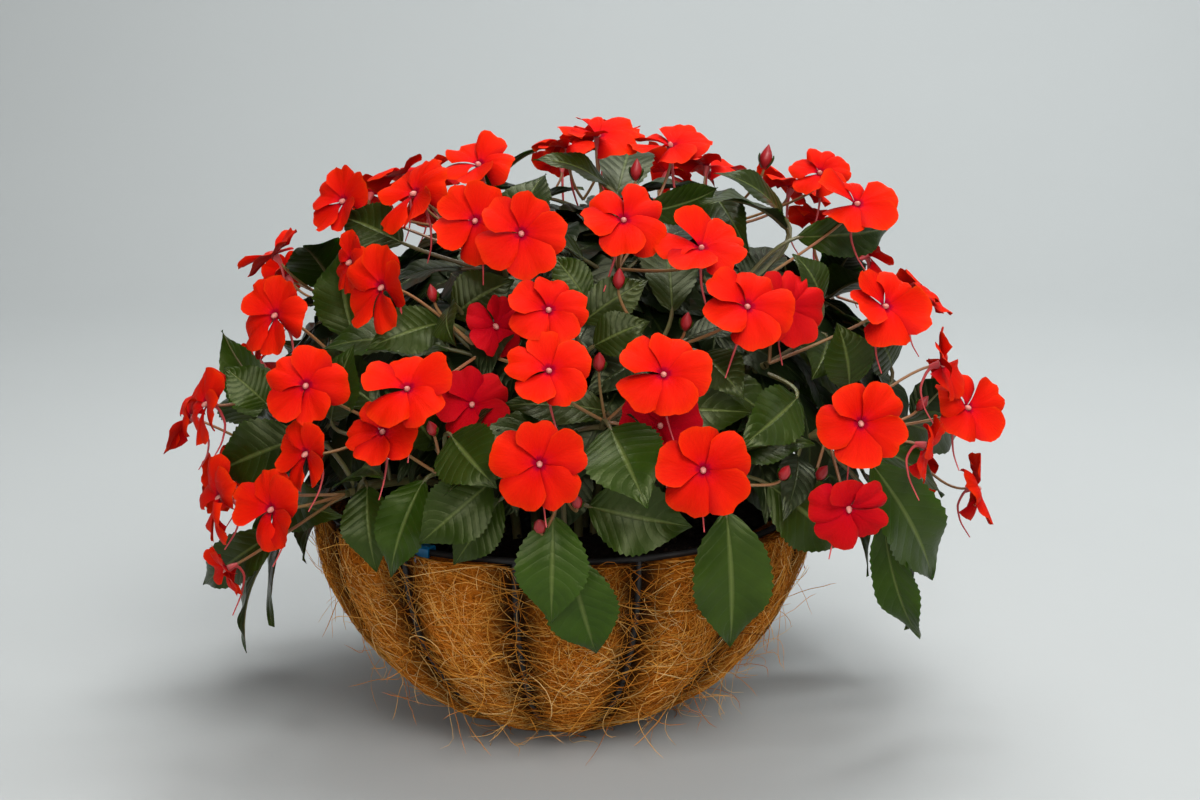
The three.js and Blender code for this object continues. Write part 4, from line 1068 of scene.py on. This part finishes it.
def fibre_walk(rng, count, steps, step, curl, heading_spread):
    angle = np.arcsin(rng.uniform(np.sin(TOP_ANGLE), np.sin(FLOOR_ANGLE) * 0.995, count))
    degrees = rng.uniform(0, 360, count)
    heading = rng.normal(0, heading_spread, count) + np.where(rng.random(count) < 0.5, 0, math.pi)
    turn = rng.normal(0, curl, count)
    places = []
    for _ in range(steps):
        places.append((angle.copy(), degrees.copy()))
        radius = np.maximum(BOWL_RADIUS * np.cos(angle), 30)
        degrees = degrees + np.degrees(step * np.cos(heading) / radius)
        angle = np.clip(angle + step * np.sin(heading) / 172, TOP_ANGLE * 0.6, FLOOR_ANGLE)
        turn = turn * 0.9 + rng.normal(0, curl * 0.6, count)
        heading = heading + turn
    return np.array([p[0] for p in places]).T, np.array([p[1] for p in places]).T


def make_fibres():
    rng = np.random.default_rng(SEED)
    count = FIBRES_PER_PIECE
    for part in range(2):
        piece = Piece(f"coir_fibres_{part + 1}", "coir", [FIBRE])
        steps = 7
        angle, degrees = fibre_walk(rng, count, steps, 8.5, 0.25, 0.9)
        out = rng.uniform(-0.2, 1.5, (count, 1)) + rng.normal(0, 0.25, (count, steps))
        bridging = rng.random((count, 1)) < 0.3
        out = out + bridging * (1 - lobe_share(degrees)) * groove_depth(angle) * 0.85
        lines = coir_surface(angle, degrees, out)
        light = np.repeat(rng.beta(2.0, 2.0, (count, 1)), steps, axis=1)
        # painted shade of the grooves, less for fibres that bridge them
        tone = np.stack([light, np.maximum(painted_groove_light(degrees), 0.6 * bridging)], -1)
        add_fibres(piece, lines, rng.uniform(0.15, 0.36, count), tone)
        piece.finish()
    piece = Piece("loose_fibres", "coir", [FIBRE])
    steps = 12
    angle, degrees = fibre_walk(rng, LOOSE_FIBRES, steps, 4.5, 0.3, 1.6)
    lift = rng.uniform(4, 30, (LOOSE_FIBRES, 1)) * np.linspace(0, 1, steps)[None, :] ** 1.5
    lift *= np.clip(angle / 0.5, 0.3, 1)
    lines = coir_surface(angle, degrees, lift)
    drift = rng.normal(0, 1, (LOOSE_FIBRES, 1, 3))
    sag = drift * (np.linspace(0, 1, steps)[None, :, None] ** 2) * vec(10, 10, 8)
    lines = lines + sag
    lines[..., 2] = np.maximum(lines[..., 2], 0.4)
    light = np.repeat(rng.uniform(0.3, 1, (LOOSE_FIBRES, 1)), steps, axis=1)
    tone = np.stack([light, np.ones_like(light)], -1)
    add_fibres(piece, lines, rng.uniform(0.16, 0.3, LOOSE_FIBRES), tone)
    piece.finish()


def make_wire():
    piece = Piece("wire_basket", "wire", [WIRE], ["wire_frame"])
    ring_radius = BOWL_RADIUS - GROOVE_DEPTH + WIRE_CLEARANCE + WIRE_RADIUS
    turn = np.linspace(0, 360, 145)
    piece.tube(around(ring_radius, RIM_HEIGHT, turn), WIRE_RADIUS, 10, PLAIN)
    piece.tube(around(BASE_RING_RADIUS, BASE_RING_HEIGHT, turn[::2]), WIRE_RADIUS, 8, PLAIN)
    for k in range(RIB_COUNT):
        degrees = FIRST_RIB_DEG + k * 360 / RIB_COUNT
        angles = np.linspace(TOP_ANGLE, FLOOR_ANGLE, 26)
        radius, height = profile(angles, WIRE_CLEARANCE + WIRE_RADIUS - groove_depth(angles))
        line = np.concatenate([
            [around(ring_radius, RIM_HEIGHT, degrees)], around(radius, height, degrees)[1:],
            [around(BASE_RING_RADIUS, BASE_RING_HEIGHT, degrees)]])
        piece.tube(line, WIRE_RADIUS * 0.95, 8, PLAIN)
    piece.finish()


def make_soil():
    rng = np.random.default_rng(SEED + 1)
    piece = Piece("potting_soil", "soil", [SOIL], ["soil"])
    degrees = np.linspace(0, 360, 145)[None, :]
    limit = profile(math.asin((RIM_HEIGHT - SOIL_TOP) / BOWL_DEPTH), -COIR_WALL)[0] - 0.5
    radius = np.linspace(0.1, limit, 46)[:, None]
    a = np.radians(degrees)
    x, y = radius * np.sin(a), radius * np.cos(a)
    clods = 1.6 * np.sin(x / 13) * np.cos(y / 17) + 1.2 * np.sin(x / 5.3 + 2) * np.sin(y / 4.1)
    grit = 0.7 * np.sin(x / 2.1) * np.sin(y / 2.6)
    height = SOIL_TOP + 1.5 + clods + grit - 3.0 * (radius / limit) ** 6
    top = around(radius, height, degrees)
    side = []
    for angle in np.linspace(0.1, FLOOR_ANGLE, 6):
        r, z = profile(angle, -COIR_WALL - 0.5)
        side.append(around(r, min(z, SOIL_TOP - 2), degrees)[0])
    under = [around(0.1, profile(FLOOR_ANGLE, -COIR_WALL - 0.5)[1], degrees)[0]]
    rows = np.array(list(top) + side + under)
    uv = np.stack(np.meshgrid(np.linspace(0, 1, rows.shape[1]), np.linspace(0, 1, len(rows))), -1)
    piece.grid(rows, uv, PLAIN, flip=True)
    for _ in range(SOIL_CRUMBS):
        r, d = limit * math.sqrt(rng.random()) * 0.98, rng.uniform(0, 360)
        middle = around(r, SOIL_TOP + 2.5 + rng.uniform(-0.5, 1.5), d)
        size = rng.uniform(0.9, 2.8)
        crumb = [(-size, 0.1), (-0.5 * size, 0.7 * size), (0.3 * size, size), (0.9 * size, 0.1)]
        piece.turned(middle, unit(rng.normal(size=3)), crumb, 6, PLAIN)
    piece.finish()


make_coir()
make_fibres()
make_wire()
make_soil()
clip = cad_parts["rim_clip"]
clip.data.materials.clear()
clip.data.materials.append(CLIP)


# Stage, light and camera
def make_stage():
    bend = np.linspace(0, math.pi / 2, 16)[1:]
    rise_y, rise_z = SWEEP_BEND * np.sin(bend), SWEEP_BEND * (1 - np.cos(bend))
    flat = np.linspace(SWEEP_FRONT, SWEEP_BACK, 30)
    front, back = [SWEEP_FRONT - SWEEP_BEND] * 2, [SWEEP_BACK + SWEEP_BEND] * 2
    y = np.concatenate([front, SWEEP_FRONT - rise_y[::-1], flat, SWEEP_BACK + rise_y, back])
    z = np.concatenate([[SWEEP_TOP, 2.5], rise_z[::-1], np.zeros(30), rise_z, [2.5, SWEEP_TOP]])
    x = np.linspace(-SWEEP_HALF_WIDTH, SWEEP_HALF_WIDTH, 11)
    points = joined(x[None, :], y[:, None], z[:, None])
    quads = grid_quads(len(y), len(x)).reshape(-1, 4)
    mesh = bpy.data.meshes.new("sweep")
    mesh.from_pydata(points.reshape(-1, 3).tolist(), [], quads.tolist())
    mesh.polygons.foreach_set("use_smooth", np.ones(len(quads), bool))
    mesh.materials.append(floor_material())
    floor = show("sweep", mesh)


def area_light(name, place, target, size, power, colour):
    light = bpy.data.lights.new(name, "AREA")
    light.shape = "RECTANGLE"
    light.size, light.size_y = size
    light.energy = power
    light.color = colour
    obj = show(name, light)
    obj.location = place
    obj.rotation_euler = (Vector(target) - Vector(place)).to_track_quat("-Z", "Y").to_euler()


make_stage()
area_light("top", (0.1, 0.35, 2.4), (0, 0, 0.2), (1.5, 1.3), 34, (1.0, 0.99, 0.97))
area_light("key", (0.5, -1.9, 1.9), (0, 0, 0.2), (1.3, 1.1), 47, (1.0, 0.985, 0.96))
area_light("front", (-0.4, -2.8, 0.9), (0, 0, 0.12), (1.5, 1.0), 25, (1.0, 0.985, 0.96))
area_light("right", (2.3, -0.3, 1.5), (0, 0, 0.2), (1.3, 1.1), 7, (0.97, 0.99, 1.0))
area_light("backdrop", (0.9, 1.0, 2.7), (0.5, 3.0, 0.9), (1.8, 0.8), 56, (0.98, 1.0, 1.0))
world = bpy.data.worlds.new("studio")
world.use_nodes = True
world.node_tree.nodes["Background"].inputs[0].default_value = (0.84, 0.86, 0.86, 1)
world.node_tree.nodes["Background"].inputs[1].default_value = 0.07
bpy.context.scene.world = world
bpy.context.scene.view_settings.view_transform = "Standard"

camera = bpy.data.cameras.new("camera")
camera.sensor_width = 36.0
camera.lens = CAMERA_LENS
camera_obj = show("camera", camera)
camera_obj.location = CAMERA_PLACE
camera_obj.rotation_euler = (math.radians(90 - CAMERA_DOWN_DEG), 0, math.radians(-CAMERA_RIGHT_DEG))
bpy.context.scene.camera = camera_obj

bpy.context.view_layer.update()
